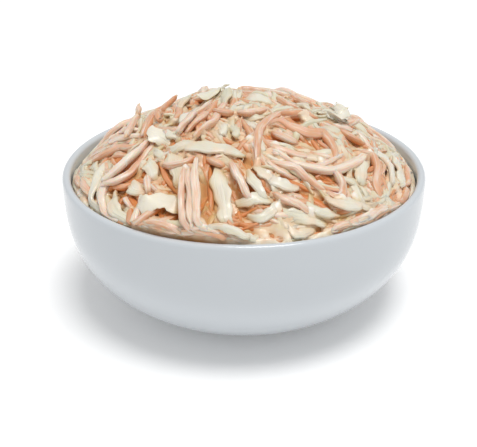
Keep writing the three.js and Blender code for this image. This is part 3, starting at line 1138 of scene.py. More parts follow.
# the larger shreds: the width in mm, the route in plan in mm, the coat from bare 0 to thick 1, and how far
# the ends rise, in mm
SHOWN = [
    # left side
    Shred(Cut.CARROT, 2.6, [(-68, -10), (-66, -18), (-62, -28)], 0.5),
    Shred(Cut.CABBAGE, 4, [(-61, -12), (-59, -19), (-56, -26)], 0.5),
    Shred(Cut.CARROT, 2.8, [(-64, -18), (-61, -27), (-58, -37)], 0.35),
    Shred(Cut.CABBAGE, 4.2, [(-50, -33), (-46, -36), (-42, -38)], 0.75),
    Shred(Cut.CARROT, 2.3, [(-51, -34), (-47, -39), (-41, -43)], 0.2),
    Shred(Cut.CARROT, 2.3, [(-45, -33), (-41, -37), (-37, -42)], 0.1),
    Shred(Cut.CABBAGE, 3.4, [(-54, -20), (-58, -31), (-57, -41), (-51, -52)], 0.8),
    Shred(Cut.CARROT, 2.6, [(-50, -29), (-53, -39), (-50, -49), (-44, -57)], 0.85),
    Shred(Cut.CABBAGE, 4, [(-49, -38), (-47, -48), (-41, -59)], 0.75),
    Shred(Cut.CABBAGE, 5.2, [(-42, -41), (-39, -46), (-35, -49)], 0.8),
    Shred(Cut.CARROT, 2.2, [(-52, 2), (-46, -5), (-40, -13)], 0.8),
    Shred(Cut.CARROT, 2.3, [(-56, -3), (-47, -11), (-36, -18)], 0.85),
    Shred(Cut.CARROT, 2.4, [(-62, -10), (-56, -13), (-49, -16), (-40, -19)], 0.45),
    Shred(Cut.CARROT, 2.3, [(-51, -26), (-45, -24), (-38, -20)], 0.05),
    Shred(Cut.CARROT, 2.2, [(-50, -28), (-43, -26), (-36, -22)], 0.75),
    Shred(Cut.CARROT, 2.1, [(-54, -33), (-47, -31), (-39, -27), (-33, -23)], 0.85),
    Shred(Cut.CARROT, 2, [(-53, -30), (-47, -28), (-40, -24), (-35, -20)], 0.95),
    Shred(Cut.CARROT, 2.8, [(-46, -9), (-44, 2), (-42, 13)], 0.6, (1.5, 5)),
    Shred(Cut.CARROT, 2.7, [(-40, -18), (-38, -6), (-36, 6)], 0.5),
    Shred(Cut.CARROT, 2.3, [(-38, -19), (-36, -5), (-33, 8), (-28, 21)], 0.15, (0, 3.5)),
    Shred(Cut.CARROT, 2.3, [(-34, 2), (-33, -5), (-31, -12)], 0.2),
    Shred(Cut.CARROT, 2.6, [(-27, 6), (-26, -6), (-28, -17)], 0.3),
    Shred(Cut.LEAF, 6.5, [(-36, -12), (-31, -18), (-26, -24)], 0.95, (1, 0)),
    Shred(Cut.CABBAGE, 3.4, [(-30, -19), (-25, -25), (-24, -33)], 0.85),
    # front left
    Shred(Cut.CABBAGE, 4.6, [(-36, -36), (-34, -41), (-33, -46)], 0.8),
    Shred(Cut.CARROT, 2.3, [(-36, -41), (-35, -46), (-35, -51)], 0.75),
    Shred(Cut.CARROT, 2.3, [(-31, -40), (-29, -46), (-24, -53)], 0.05),
    Shred(Cut.CABBAGE, 6, [(-27, -34), (-24, -44), (-22, -53)], 0.8),
    Shred(Cut.CARROT, 2.2, [(-31, -39), (-24, -40), (-17, -39)], 0.75),
    Shred(Cut.CARROT, 2.3, [(-41, -51), (-41, -56), (-42, -61)], 0.2),
    Shred(Cut.CARROT, 2.4, [(-37, -51), (-39, -56), (-40, -60)], 0.85),
    Shred(Cut.CARROT, 2.2, [(-40, -55), (-32, -54), (-23, -58)], 0.35),
    Shred(Cut.CARROT, 2.2, [(-39, -57), (-31, -57), (-22, -61)], 0.5),
    Shred(Cut.CABBAGE, 4, [(-35, -60), (-27, -63), (-16, -66)], 0.3),
    Shred(Cut.CARROT, 2.2, [(-39, -60), (-31, -60), (-20, -64)], 0.45),
    Shred(Cut.LEAF, 7.5, [(-38, -49), (-30, -51), (-20, -58)], 1.0),
    Shred(Cut.CARROT, 3, [(-20, -50), (-20, -56), (-19, -60)], 0.3),
    # front middle
    Shred(Cut.CARROT, 2.3, [(-13, -47), (-12, -55), (-12, -63)], 0.1),
    Shred(Cut.CARROT, 2.3, [(-15, -64), (-12, -66), (-9, -69)], 0.2),
    Shred(Cut.LEAF, 6.5, [(-9, -46), (-8, -56), (-5, -67)], 0.85),
    Shred(Cut.CARROT, 2.2, [(-15, -41), (-10, -43), (-7, -47)], 0.6),
    Shred(Cut.CARROT, 2.4, [(-20, -42), (-18, -50), (-18, -58), (-14, -66)], 0.75),
    Shred(Cut.CARROT, 2, [(-21, -41), (-21, -50), (-20, -58), (-16, -66)], 0.6),
    Shred(Cut.CARROT, 2.4, [(-17, -39), (-16, -50), (-15, -60), (-8, -69)], 0.8),
    Shred(Cut.CABBAGE, 4, [(-3, -61), (4, -58), (11, -60)], 0.7),
    Shred(Cut.CABBAGE, 3.4, [(1, -65), (8, -63), (14, -58)], 0.6),
    Shred(Cut.CARROT, 2.4, [(-5, -46), (-1, -52), (3, -60)], 0.75),
    Shred(Cut.CABBAGE, 3, [(1, -49), (5, -54), (9, -60)], 0.85),
    Shred(Cut.CABBAGE, 3.4, [(4, -47), (9, -50), (13, -57)], 0.7),
    # the middle
    Shred(Cut.CARROT, 2.3, [(-11, -29), (-8, -32), (-5, -35)], 0.05),
    Shred(Cut.CABBAGE, 4, [(-10, -19), (-8, -25), (-7, -31)], 0.8),
    Shred(Cut.CABBAGE, 3.6, [(-5, -18), (-3, -25), (-2, -32)], 0.3),
    Shred(Cut.CABBAGE, 5.2, [(-30, -29), (-18, -33), (-6, -38), (1, -43)], 0.6),
    Shred(Cut.CARROT, 2.6, [(-17, -20), (-17, -25), (-17, -30)], 0.3),
    Shred(Cut.CABBAGE, 3.6, [(-25, -22), (-22, -10), (-18, 6)], 0.8),
    Shred(Cut.CARROT, 2.2, [(-22, -27), (-19, -20), (-14, -8), (-10, 8)], 0.5),
    Shred(Cut.CARROT, 2, [(-25, -25), (-22, -17), (-17, -6), (-13, 8)], 0.75),
    Shred(Cut.CARROT, 2.4, [(-19, -29), (-16, -22), (-12, -13), (-6, 4)], 0.45),
    Shred(Cut.CABBAGE, 3.6, [(-2, -14), (4, -13), (9, -14)], 0.8),
    Shred(Cut.CARROT, 2.6, [(-13, -6), (-8, -8), (-3, -10)], 0.4),
    Shred(Cut.CABBAGE, 5, [(0, 2), (7, 1), (13, -3)], 0.8),
    Shred(Cut.CARROT, 2.6, [(-3, -9), (4, -9), (10, -8)], 0.5),
    Shred(Cut.CARROT, 2.3, [(-4, -6), (-3, 4), (-3, 16)], 0.1, (0, 1)),
    Shred(Cut.LEAF, 8, [(-18, 12), (-12, 19), (-7, 26)], 0.7, (2, 3)),
    Shred(Cut.CARROT, 2.8, [(-2, 18), (8, 16), (18, 12)], 0.6, (1, 1)),
    Shred(Cut.CABBAGE, 3.4, [(13, 14), (13, 6), (12, -2)], 0.3),
    Shred(Cut.CARROT, 2.7, [(13, 6), (18, 0), (23, -5)], 0.6),
    Shred(Cut.CABBAGE, 4.6, [(22, 8), (25, 0), (27, -8)], 0.85),
    Shred(Cut.CARROT, 2.3, [(21, -11), (26, -9), (31, -10)], 0.2),
    Shred(Cut.CARROT, 2.6, [(19, 17), (23, 10), (28, 4)], 0.5),
    # right side
    Shred(Cut.CARROT, 2.3, [(23, -23), (26, -28), (29, -33)], 0.0),
    Shred(Cut.CARROT, 2.3, [(22, -43), (26, -43), (29, -45)], 0.0),
    Shred(Cut.CARROT, 2.3, [(17, -51), (25, -52), (33, -52)], 0.05),
    Shred(Cut.CARROT, 2.4, [(10, -25), (15, -27), (21, -31)], 0.7),
    Shred(Cut.CARROT, 2.4, [(8, -33), (16, -35), (26, -36)], 0.6),
    Shred(Cut.CARROT, 3.2, [(5, -45), (5, -32), (7, -20), (14, -12), (24, -8)], 0.45),
    Shred(Cut.CARROT, 3.6, [(9, -20), (17, -14), (27, -17), (34, -27), (34, -37)], 0.3),
    Shred(Cut.CARROT, 2.8, [(34, -13), (39, -9), (45, -7)], 0.7),
    Shred(Cut.CABBAGE, 4.4, [(32, -44), (38, -42), (44, -43)], 0.6),
    Shred(Cut.CABBAGE, 5.8, [(42, -27), (44, -35), (44, -43)], 0.7),
    Shred(Cut.CARROT, 3, [(10, -38), (22, -40), (34, -39), (43, -30), (48, -20)], 0.85),
    Shred(Cut.CARROT, 2.3, [(37, -16), (43, -14), (49, -14)], 0.2),
    Shred(Cut.CARROT, 3.2, [(44, -24), (49, -19), (51, -29), (50, -38), (53, -44)], 0.35),
    Shred(Cut.CARROT, 2.8, [(66, -4), (66, -15), (63, -27)], 0.35, (1, 0)),
    Shred(Cut.CABBAGE, 5.4, [(61, -8), (62, -18), (60, -29)], 0.8),
    Shred(Cut.CABBAGE, 6.4, [(54, -10), (57, -21), (57, -32)], 0.8),
    Shred(Cut.CARROT, 2.6, [(64, -24), (61, -31), (57, -38)], 0.3),
    Shred(Cut.CABBAGE, 3.6, [(53, -37), (55, -42), (56, -46)], 0.7),
    Shred(Cut.CABBAGE, 4.4, [(8, -50), (14, -51), (20, -52)], 0.9),
    Shred(Cut.CARROT, 2.4, [(9, -43), (18, -43), (25, -47), (31, -51)], 0.65),
    Shred(Cut.CARROT, 2.6, [(29, -50), (35, -49), (36, -44), (33, -38)], 0.6),
    Shred(Cut.CABBAGE, 5, [(12, -62), (21, -62), (31, -61)], 0.5),
    Shred(Cut.CARROT, 2.4, [(10, -56), (18, -57), (26, -61)], 0.6),
    Shred(Cut.CABBAGE, 3.4, [(22, -57), (29, -57), (36, -57)], 0.4),
    Shred(Cut.CABBAGE, 5.6, [(29, -52), (38, -50), (48, -48)], 0.75),
    Shred(Cut.CARROT, 2.8, [(29, -62), (33, -59), (38, -55)], 0.4),
    Shred(Cut.CARROT, 2.4, [(41, -59), (50, -52), (58, -42)], 0.3),
    Shred(Cut.CARROT, 3, [(35, -61), (47, -53), (57, -43)], 0.75),
    Shred(Cut.CABBAGE, 8, [(35, -9), (36.5, -2), (38, 4)], 0.95, (0, 6)),
    Shred(Cut.CARROT, 2.6, [(40, -6), (43, 1), (46, 8)], 0.6, (0, 2.5)),
    # along the lip
    Shred(Cut.CARROT, 2.4, [(-18, -59), (-16, -64), (-12, -69)], 0.85),
    Shred(Cut.CABBAGE, 2.4, [(-13, -63), (-9, -67), (-3, -69), (5, -70)], 0.8),
    Shred(Cut.CABBAGE, 3.2, [(15, -67), (20, -67), (26, -66)], 0.6),
    Shred(Cut.CARROT, 2.2, [(31, -63), (36, -60), (41, -57)], 0.5),
]

# where the heap is open down to bare shreds: the ends of a slot and its width, in mm of the plan
HOLLOWS = [
    # left side
    ((-39, -13), (-38, -18), 3.0),
    ((-49, -25), (-41, -25), 2.5),
    ((-42, -38), (-37, -41), 3.5),
    ((-33, -36), (-30, -42), 1.6),
    ((-29, -43), (-26, -52), 3.6),
    ((-52, -30), (-50, -29), 1.8),
    ((-52, -34), (-52, -34), 1.8),
    ((-50, -37), (-45, -42), 2.6),
    ((-59, -33), (-58, -36), 2.6),
    ((-46, -49), (-46, -49), 2.2),
    ((-40, -52), (-41, -57), 2.2),
    ((-22, -61), (-22, -62), 3.0),
    ((-26, -40), (-18, -41), 2.6),
    ((-34, -57), (-30, -58), 2.0),
    # the middle
    ((-25, -12), (-27, -18), 2.4),
    ((-16, -31), (-16, -34), 2.4),
    ((-7, -31), (-6, -36), 3.0),
    ((-3, -26), (-3, -29), 1.6),
    ((-1, -38), (1, -42), 1.8),
    ((2, -43), (3, -46), 2.6),
    ((9, -25), (14, -28), 1.6),
    ((-15, -43), (-11, -44), 2.8),
    ((-11, -46), (-12, -49), 1.6),
    ((-12, -52), (-12, -61), 2.8),
    ((-5, -52), (1, -61), 2.2),
    ((2, -52), (8, -58), 2.4),
    ((10, -67), (13, -68), 2.2),
    ((0, -66), (4, -68), 2.0),
    # right side
    ((16, -28), (20, -30), 1.6),
    ((21, -29), (21, -30), 2.8),
    ((26, -29), (29, -27), 4.4),
    ((41, -14), (46, -16), 2.6),
    ((43, -21), (44, -21), 1.6),
    ((25, -43), (29, -44), 2.6),
    ((18, -50), (27, -53), 3.6),
    ((27, -53), (34, -51), 2.0),
    ((34, -38), (36, -39), 2.2),
    ((44, -38), (43, -39), 1.8),
    ((49, -49), (49, -50), 1.6),
    ((54, -46), (55, -47), 2.0),
    ((57, -46), (58, -44), 2.0),
    ((62, -32), (65, -20), 2.4),
    ((26, -63), (29, -61), 1.6),
]

# thick spots of dressing: the middle in plan and the radius, in mm
BLOBS = [
    (2, -30, 3.0),
    (12, -32, 2.8),
    (28, -46, 2.2),
    (13, -51, 3.0),
    (-21, -47, 2.6),
    (29, -36, 2.2),
    (36, -52, 2.8),
    (47, -50, 2.8),
    (-7, -19, 2.4),
    (-44, -36, 2.4),
    (49, -24, 2.2),
    (9, -48, 2.4),
    (12, -60, 2.8),
    (24, -60, 2.8),
    (41, -47, 2.4),
]

# the shreds strewn over the back, and the finer ones under and between all others
LARGE = Handful(carrot_width=(2.4, 0.8), cabbage_width=(4.0, 0.8), reach=(9.0, 9.0), coat=(0.25, 0.6))
SMALL = Handful(carrot_width=(1.5, 1.3), cabbage_width=(2.1, 1.3), reach=(5.0, 14.5), coat=(0.2, 0.75))


@dataclass(frozen=True)
class Fineness:
    """How finely a shred is meshed: its rows' distance in mm, its ends' steps and its sides, if set."""

    row: float
    caps: tuple[float, ...]
    sides: int = 0


FINE = Fineness(row=1.2, caps=(0.22, 0.55, 0.85))
PLAIN = Fineness(row=1.9, caps=(0.3, 0.75), sides=6)


@dataclass
class Strip:
    """A laid shred as a closed, rounded strip with soft, uneven edges. Its number seeds its unevenness."""

    shred: Shred
    number: int
    rows: tuple[int, int] = (6, 40)
    film: float = 0.25
    least_film: float = 0.4
    least_round: float = 0.02
    tapering: float = 0.28
    flat_taper: float = 0.3
    wobble: float = 0.1
    wobble_turns: Span = (5.0, 11.0)
    shiver: float = 0.05
    shiver_turns: float = 23.0
    twist_turns: Span = (2.0, 6.0)
    wave_start: float = 6.0
    ruffle_turns: float = 9.0
    ripple: float = 0.35
    ripple_length: float = 2.3
    bite_turns: Span = (11.0, 27.0)
    bite_shift: float = 2.2
    small_bite: float = 0.6
    tone_drawn: float = 0.65
    tone_bare: float = 0.45
    grain_spread: float = 400.0

    def __post_init__(self) -> None:
        """Works out where the strip's rows lie and the shape of its section."""
        shred = self.shred
        fineness = FINE if shred.fine else PLAIN
        self.draws = np.random.default_rng(self.number + 1)
        self.sides = fineness.sides or shred.shape.sides
        lengths = np.concatenate([[0], np.cumsum(np.linalg.norm(np.diff(shred.middle, axis=0), axis=1))])
        self.length = lengths[-1]
        self.round_off = min(shred.shape.thickness, self.length / 4)
        count = int(np.clip(self.length / fineness.row, *self.rows))
        inner = np.linspace(self.round_off, self.length - self.round_off, count)
        cap = self.round_off * (1 - np.cos(np.array(fineness.caps) * math.pi / 2))
        self.at = np.concatenate([cap, inner, self.length - cap[::-1]])
        self.share = (self.at / self.length)[:, None]
        self.middle, normal = (
            np.stack([np.interp(self.at, lengths, line[:, k]) for k in range(3)], 1)
            for line in (shred.middle, shred.normal)
        )
        tangent = unit(np.gradient(self.middle, axis=0))
        self.across = unit(np.cross(normal, tangent))
        self.normal = np.cross(tangent, self.across)
        turn = np.arange(self.sides) / self.sides * 2 * math.pi
        self.aside, self.above = (
            np.sign(wave) * np.abs(wave) ** shred.shape.squareness for wave in (np.cos(turn), np.sin(turn))
        )

    def wave(self, turns: Span) -> Array:
        """A slow wave along the strip, its length and its start drawn."""
        return np.sin(self.share * self.draws.uniform(*turns) + self.draws.uniform(0, self.wave_start))

    def sizes(self) -> tuple[Array, Array, Array]:
        """How the section changes from end to end.

        Returns:
            For each row, half its width and half its thickness in mm, and how far the ends round it off.
        """
        shred, shape, share = self.shred, self.shred.shape, self.share
        ends = np.minimum(self.at, self.length - self.at)[:, None]
        rounding = np.sqrt(np.clip(1 - (1 - np.clip(ends / self.round_off, 0, 1)) ** 2, self.least_round, 1))
        thin = 1 - np.minimum(1, np.minimum(share, 1 - share) / self.tapering)
        wobble = 1 + self.wobble * self.wave(self.wobble_turns)
        wobble = wobble + self.shiver * np.sin(share * self.shiver_turns + self.number)
        film = self.film * (self.least_film + shred.coat) * (shred.cut is not Cut.LEAF)
        half = shred.width / 2 * (1 - shape.taper * thin) * wobble + film
        deep = shape.thickness / 2 * (1 - self.flat_taper * shape.taper * thin) * (2 - wobble) + film
        return half * rounding, deep * rounding, rounding

    def points(self, half: Array, deep: Array, rounding: Array) -> Array:
        """The rings of points, row by row, and then the two ends.

        Args:
            half: half the width of each row, in mm.
            deep: half its thickness, in mm.
            rounding: how far the ends round it off.

        Returns:
            The points in mm.
        """
        shred, shape, share, aside = self.shred, self.shred.shape, self.share, self.aside
        side = np.sign(aside)
        twist = shape.twist * self.wave(self.twist_turns)
        ruffle = shape.ruffle * np.sin(share * self.ruffle_turns + shred.plan[0][0]) * aside
        rippled = np.sin(share * self.length / self.ripple_length + self.number)
        ripple = shape.ruffle * self.ripple * rippled * np.abs(aside) ** 2
        slow, fast = self.bite_turns
        bites = np.sin(share * slow + self.bite_shift * side) + self.small_bite * np.sin(share * fast + side)
        u = half * aside * (1 + shape.ragged * bites)
        v = deep * self.above + (ruffle + ripple) * rounding
        cosine, sine = np.cos(twist), np.sin(twist)
        u, v = (u * cosine - v * sine)[..., None], (u * sine + v * cosine)[..., None]
        rings = self.middle[:, None] + u * self.across[:, None] + v * self.normal[:, None]
        return np.concatenate([rings.reshape(-1, 3), self.middle[:1], self.middle[-1:]])

    def faces(self) -> Array:
        """The quads between the rings and the triangles over the two ends.

        Returns:
            The vertex numbers of each face, padded with -1.
        """
        sides, count = self.sides, len(self.at)
        row, side = np.meshgrid(np.arange(count - 1), np.arange(sides), indexing="ij")
        near, far = row * sides + side, row * sides + (side + 1) % sides
        quads = np.stack([near, far, far + sides, near + sides], -1).reshape(-1, 4)
        ring = np.arange(sides)
        ahead = (ring + 1) % sides
        last = (count - 1) * sides
        tip, none = np.full(sides, count * sides), np.full(sides, -1)
        over_start = np.stack([tip, ahead, ring, none], 1)
        over_end = np.stack([tip + 1, last + ring, last + ahead, none], 1)
        return np.concatenate([quads, over_start, over_end])

    def traits(self, depth: Array) -> Array:
        """What the finish reads at each point.

        Args:
            depth: how deep in the heap each point is, from 0 to 1.

        Returns:
            The tone, how near it is to an edge, the coat and the depth.
        """
        traits = np.zeros((len(depth), 4))
        traits[:, 0] = self.tone_drawn * self.draws.uniform(0, 1) + self.tone_bare * (1 - self.shred.coat)
        traits[:-2, 1] = np.tile(np.abs(self.aside) ** 3, len(self.at))
        traits[:, 2] = self.shred.coat
        traits[:, 3] = depth
        return traits

    def grain(self, half: Array, deep: Array) -> Array:
        """Places in the shred's own grain.

        Args:
            half: half the width of each row, in mm.
            deep: half its thickness, in mm.

        Returns:
            For each point, how far along, across and up it is in mm, from a drawn start.
        """
        grain = np.zeros((len(self.at) * self.sides + 2, 3))
        grain[:-2, 0] = np.repeat(self.at, self.sides)
        grain[-1, 0] = self.length
        grain[:-2, 1] = (half * self.aside).ravel()
        grain[:-2, 2] = (deep * self.above).ravel()
        return grain + self.draws.uniform(0, self.grain_spread, 3)

    def build(self, depth_of: Callable[[Array], Array]) -> tuple[Array, Array, Array, Array]:
        """Meshes the strip.

        Args:
            depth_of: gives how deep in the heap points are, from 0 to 1.

        Returns:
            Its points, its faces padded with -1, its traits and its grain.
        """
        half, deep, rounding = self.sizes()
        points = self.points(half, deep, rounding)
        return points, self.faces(), self.traits(depth_of(points)), self.grain(half, deep)


@dataclass
class Heap:
    """The coleslaw: shreds laid one on another over a mound, with dressing drawn in between them.

    Lengths are in mm. A coat is bare at 0 and thick at 1.
    """

    bowl: Bowl
    gap: float = 0.3
    beyond: float = 4.0

    # how a shred lies
    press: float = 0.75
    stations: int = 61
    wall_clear: float = 0.2
    overhang: float = 2.0
    over_lip: float = 2.0
    below_middle: float = 1.5
    viewer: tuple[float, float, float] = (0.0, -345.8, 203.0)
    sightings: int = 3
    least_facing: float = 0.4
    most_shift: float = 9.0
    bare: float = 0.12
    bare_sink: float = 2.4
    bare_reach: float = 5.0

    # the shreds strewn over the back
    spread: int = 52
    spread_seed: int = 5
    spread_inset: float = 5.0
    spread_margin: float = 4.0
    spread_from: float = 4.0
    covered: float = 0.3

    # the mass between the shreds
    top_blur: float = 3.5
    low_reach: int = 1
    low_blur: float = 1.2
    under_depth: float = 1.6
    under_gap: float = 1.7
    edge_width: float = 7.0
    edge_fill: float = 2.6
    edge_bury: float = 1.2
    depth_from: float = 0.3
    deepest: float = 3.6

    # the finer shreds under the others
    under_count: int = 1250
    under_seed: int = 11
    under_layers: float = 2.0
    under_inset: float = 2.0
    under_margin: float = 1.5
    under_bow: float = 0.45
    under_tuck: float = 1.0
    under_ceiling: Span = (-0.9, 0.5)
    by_wall_every: int = 7
    aligned: float = 0.8
    stray: float = 0.9

    # the hollows
    hollow: float = 2.2
    hollow_slope: Span = (-0.6, 0.9)
    hollow_from: float = 0.3
    hollow_coat: float = 0.1
    hollow_seed: int = 3
    hollow_sides: Span = (-0.3, 0.3)
    hollow_turn: float = 0.6
    hollow_reach: Span = (3.0, 6.0)
    hollow_bow: float = 1.5
    hollow_width: Span = (1.5, 2.2)
    hollow_coats: Span = (0.0, 0.4)
    hollow_ceiling: Span = (-1.4, -0.6)

    shreds: list[Shred] = field(default_factory=list)
    runs: Array = field(init=False)
    top: Pile = field(init=False)
    base: Pile = field(init=False)
    lid: Pile = field(init=False)

    @property
    def mound(self) -> Mound:
        """The mound that the shreds lie on."""
        return Mound(self.bowl.rim_radius - self.bowl.wall - self.gap)

    # -- laying a shred --

    def keep_in_bowl(self, shred: Shred) -> None:
        """Moves inwards what would touch the wall or reach too far over the lip.

        Args:
            shred: the resting shred.
        """
        middle = shred.middle
        reach = np.hypot(middle[:, 0], middle[:, 1])
        over = np.where(middle[:, 2] > self.bowl.height + self.over_lip, self.overhang, 0)
        room = self.bowl.room(middle[:, 2] - self.below_middle, self.gap) + over
        room = room - shred.width / 2 - self.wall_clear
        middle[:, :2] *= np.minimum(1, room / np.maximum(reach, TINY))[:, None]

    def longer(self, plan: Plan, reach: float) -> Plan:
        """A plan that runs straight on at both ends, under what lies beside it.

        Args:
            plan: the plan.
            reach: how far it runs on, in mm.

        Returns:
            The longer plan.
        """
        knots = np.array(plan, float)
        first, last = unit(knots[0] - knots[1]), unit(knots[-1] - knots[-2])
        return [tuple(knots[0] + reach * first), *plan, tuple(knots[-1] + reach * last)]

    def inside(self, plan: Array, width: float) -> Array:
        """A plan with what lies too near the wall moved inwards.

        Args:
            plan: plan places in mm, one in each row.
            width: the width that has to stay clear of the wall, in mm.

        Returns:
            The moved places.
        """
        reach = np.linalg.norm(plan, axis=1, keepdims=True)
        room = self.mound.radius - width / 2 - self.wall_clear
        return plan * np.minimum(1, room / np.maximum(reach, TINY))

    def lay(self, shred: Shred, pile: Pile, ceiling: Pile | None = None, sightings: int = 0) -> None:
        """Lays a shred on a pile and keeps it in the bowl.

        Args:
            shred: the shred.
            pile: what it lies on.
            ceiling: what it stays under, if anything.
            sightings: how often its route is drawn towards the viewer by what it is raised, so that from the
                front it is seen where its plan lies on the bare mound.
        """
        press = self.press
        if shred.fine and shred.coat < self.bare:
            press += self.bare_sink
            shred.plan = self.longer(shred.plan, self.bare_reach)
        plan = self.inside(shred.route(self.stations), shred.width)
        shred.follow(self.mound, plan)
        pile.rest(shred, press, ceiling)
        for _ in range(sightings):
            away = unit(shred.place - np.array(self.viewer))
            facing = np.maximum(-(away * shred.normal).sum(1), self.least_facing)
            raised = ((shred.middle - shred.place) * shred.normal).sum(1)
            shift = np.clip(raised / facing, -self.most_shift, self.most_shift)
            shred.follow(self.mound, self.inside(plan - away[:, :2] * shift[:, None], shred.width))
            pile.rest(shred, press, ceiling)
        pile.add(shred)
        self.keep_in_bowl(shred)
        self.shreds.append(shred)

    def bowed_plan(self, x: float, y: float, heading: float, reach: float, bow: float, margin: float) -> Plan:
        """A bowed plan route.

        Args:
            x: the middle's place.
            y: the middle's place.
            heading: the route's direction in radians.
            reach: its half length in mm.
            bow: how far its middle stands aside, in mm.
            margin: how far it stays off the mound's edge, in mm.

        Returns:
            Three points, kept on the mound.
        """
        way = np.array([math.cos(heading), math.sin(heading)])
        side = np.array([-way[1], way[0]])
        plan = []
        for end in (-1, 0, 1):
            point = np.array([x, y]) + end * reach * way + bow * (1 - end * end) * side
            room = min(1.0, (self.mound.radius - margin) / float(np.hypot(*point)))
            plan.append((float(point[0] * room), float(point[1] * room)))
        return plan

    # -- laying them all --

    def spread_shreds(self, pile: Pile) -> None:
        """Lays shreds by the golden angle over what the shown ones leave bare: mostly the back.

        Args:
            pile: the pile of the shown ones.
        """
        draws = Draws(self.spread_seed)
        for number in range(self.spread):
            angle = number * math.pi * GOLDEN
            radius = (self.mound.radius - self.spread_inset) * math.sqrt((number + 0.5) / self.spread)
            x, y = radius * math.cos(angle), radius * math.sin(angle)
            kind, size, turn, long = (draws.one() for _ in range(4))
            if y < self.spread_from or pile.height(np.array(x), np.array(y)) > self.covered:
                continue
            cut = Cut.CARROT if kind < LARGE.carrot_share else Cut.CABBAGE
            width, reach, coat = LARGE.draw(cut, size, long, long)
            plan = self.bowed_plan(x, y, turn * math.pi, reach, (size - 0.5) * reach, self.spread_margin)
            self.lay(Shred(cut, width, plan, coat=coat), pile)

    def openness(self, x: Array, y: Array) -> Array:
        """Where the hollows between the shreds are.

        Args:
            x: places of the plan in mm.
            y: places of the plan in mm.

        Returns:
            1 in the hollows and 0 elsewhere, with a slope between.
        """
        place = np.stack([x, y], -1)
        opened = np.zeros(place.shape[:-1])
        inner, outer = self.hollow_slope
        for start, end, width in HOLLOWS:
            along = np.subtract(end, start)
            share = np.clip((place - start) @ along / max(along @ along, TINY), 0, 1)
            away = np.linalg.norm(place - start - share[..., None] * along, axis=-1)
            opened = np.maximum(opened, 1 - smooth(away, width / 2 + inner, width / 2 + outer))
        return opened

    def near_wall(self, x: Array, y: Array) -> Array:
        """1 at the wall, falling to 0 inwards: there the mass between the shreds stands higher."""
        return smooth(np.hypot(x, y), self.mound.radius - self.edge_width, self.mound.radius)

    def set_levels(self, pile: Pile) -> None:
        """Sets the smoothed top, the mass between the shreds, and the lid that the finer ones bend beneath.

        Args:
            pile: the pile of the larger shreds.
        """
        x, y = pile.places()
        opened = self.hollow * self.openness(x, y)
        self.top = pile.smoothed(self.top_blur)
        high = np.maximum(self.top.heights - self.under_gap, 0)
        low = pile.lowest(self.low_reach).smoothed(self.low_blur).heights
        level = np.minimum(high, low) - self.under_depth + self.edge_fill * self.near_wall(x, y)
        taken = pile.heights > 0
        level[taken] = np.minimum(level, pile.heights - self.edge_bury)[taken]
        lid = np.where(taken, pile.heights - self.under_tuck, self.top.heights)
        self.base = pile.with_heights(level - opened)
        self.lid = pile.with_heights(lid - opened)

    def fill_hollows(self, pile: Pile) -> None:
        """Lays two bare shreds at the bottom of each hollow.

        Args:
            pile: what they lie on.
        """
        draws = Draws(self.hollow_seed)
        for start, end, width in HOLLOWS:
            way = np.subtract(end, start)
            for aside in self.hollow_sides:
                x, y = np.mean([start, end], axis=0) + aside * width
                heading = math.atan2(way[1], way[0]) + draws.between(-self.hollow_turn, self.hollow_turn)
                reach = float(np.hypot(*way)) / 2 + draws.between(*self.hollow_reach)
                bow = draws.between(-self.hollow_bow, self.hollow_bow)
                plan = self.bowed_plan(x, y, heading, reach, bow, self.under_margin)
                shred_width, coat = draws.between(*self.hollow_width), draws.between(*self.hollow_coats)
                shred = Shred(Cut.CARROT, shred_width, plan, coat=coat, fine=False)
                self.lay(shred, pile, self.lid.raised(draws.between(*self.hollow_ceiling)))

    def run(self, x: float, y: float, turn: float) -> float:
        """The heading of a finer shred. Most run nearly with the larger one that is nearest.

        Args:
            x: its middle's place.
            y: its middle's place.
            turn: a draw between 0 and 1.

        Returns:
            The heading in radians.
        """
        if turn > self.aligned:
            return (turn - self.aligned) / (1 - self.aligned) * math.pi
        near = int(np.argmin(np.hypot(*(self.runs[:, :2] - (x, y)).T)))
        return self.runs[near, 2] + (turn / self.aligned - 0.5) * self.stray

    def under_shreds(self) -> None:
        """Lays the many finer shreds that show between the others."""
        places = np.concatenate([shred.place[:, :2] for shred in self.shreds])
        ways = np.concatenate([np.gradient(shred.place[:, :2], axis=0) for shred in self.shreds])
        self.runs = np.column_stack([places, np.arctan2(ways[:, 1], ways[:, 0])])
        draws = Draws(self.under_seed)
        pile = self.base.with_heights(self.base.heights.copy())
        self.fill_hollows(pile)
        for number in range(self.under_count):
            round_way, outwards = strewn_place(number)
            angle = 2 * math.pi * round_way
            by_wall = number % self.by_wall_every == 0
            radius = (self.mound.radius - self.under_inset) * (1.0 if by_wall else math.sqrt(outwards))
            x, y = radius * math.cos(angle), radius * math.sin(angle)
            kind, size, turn, long, coat = (draws.one() for _ in range(5))
            bow = draws.between(-self.under_bow, self.under_bow)
            here = np.array(x), np.array(y)
            open_here = self.openness(*here) > self.hollow_from
            if pile.height(*here) > self.base.height(*here) + self.under_layers:
                continue
            cut = Cut.CARROT if open_here or kind < SMALL.carrot_share else Cut.CABBAGE
            width, reach, coat = SMALL.draw(cut, size, long, coat)
            heading = angle + math.pi / 2 + (turn - 0.5) * self.stray if by_wall else self.run(x, y, turn)
            plan = self.bowed_plan(x, y, heading, reach, bow * reach, self.under_margin)
            ceiling = self.lid.raised(draws.between(*self.under_ceiling))
            shred = Shred(cut, width, plan, coat=self.hollow_coat if open_here else coat, fine=False)
            self.lay(shred, pile, ceiling)

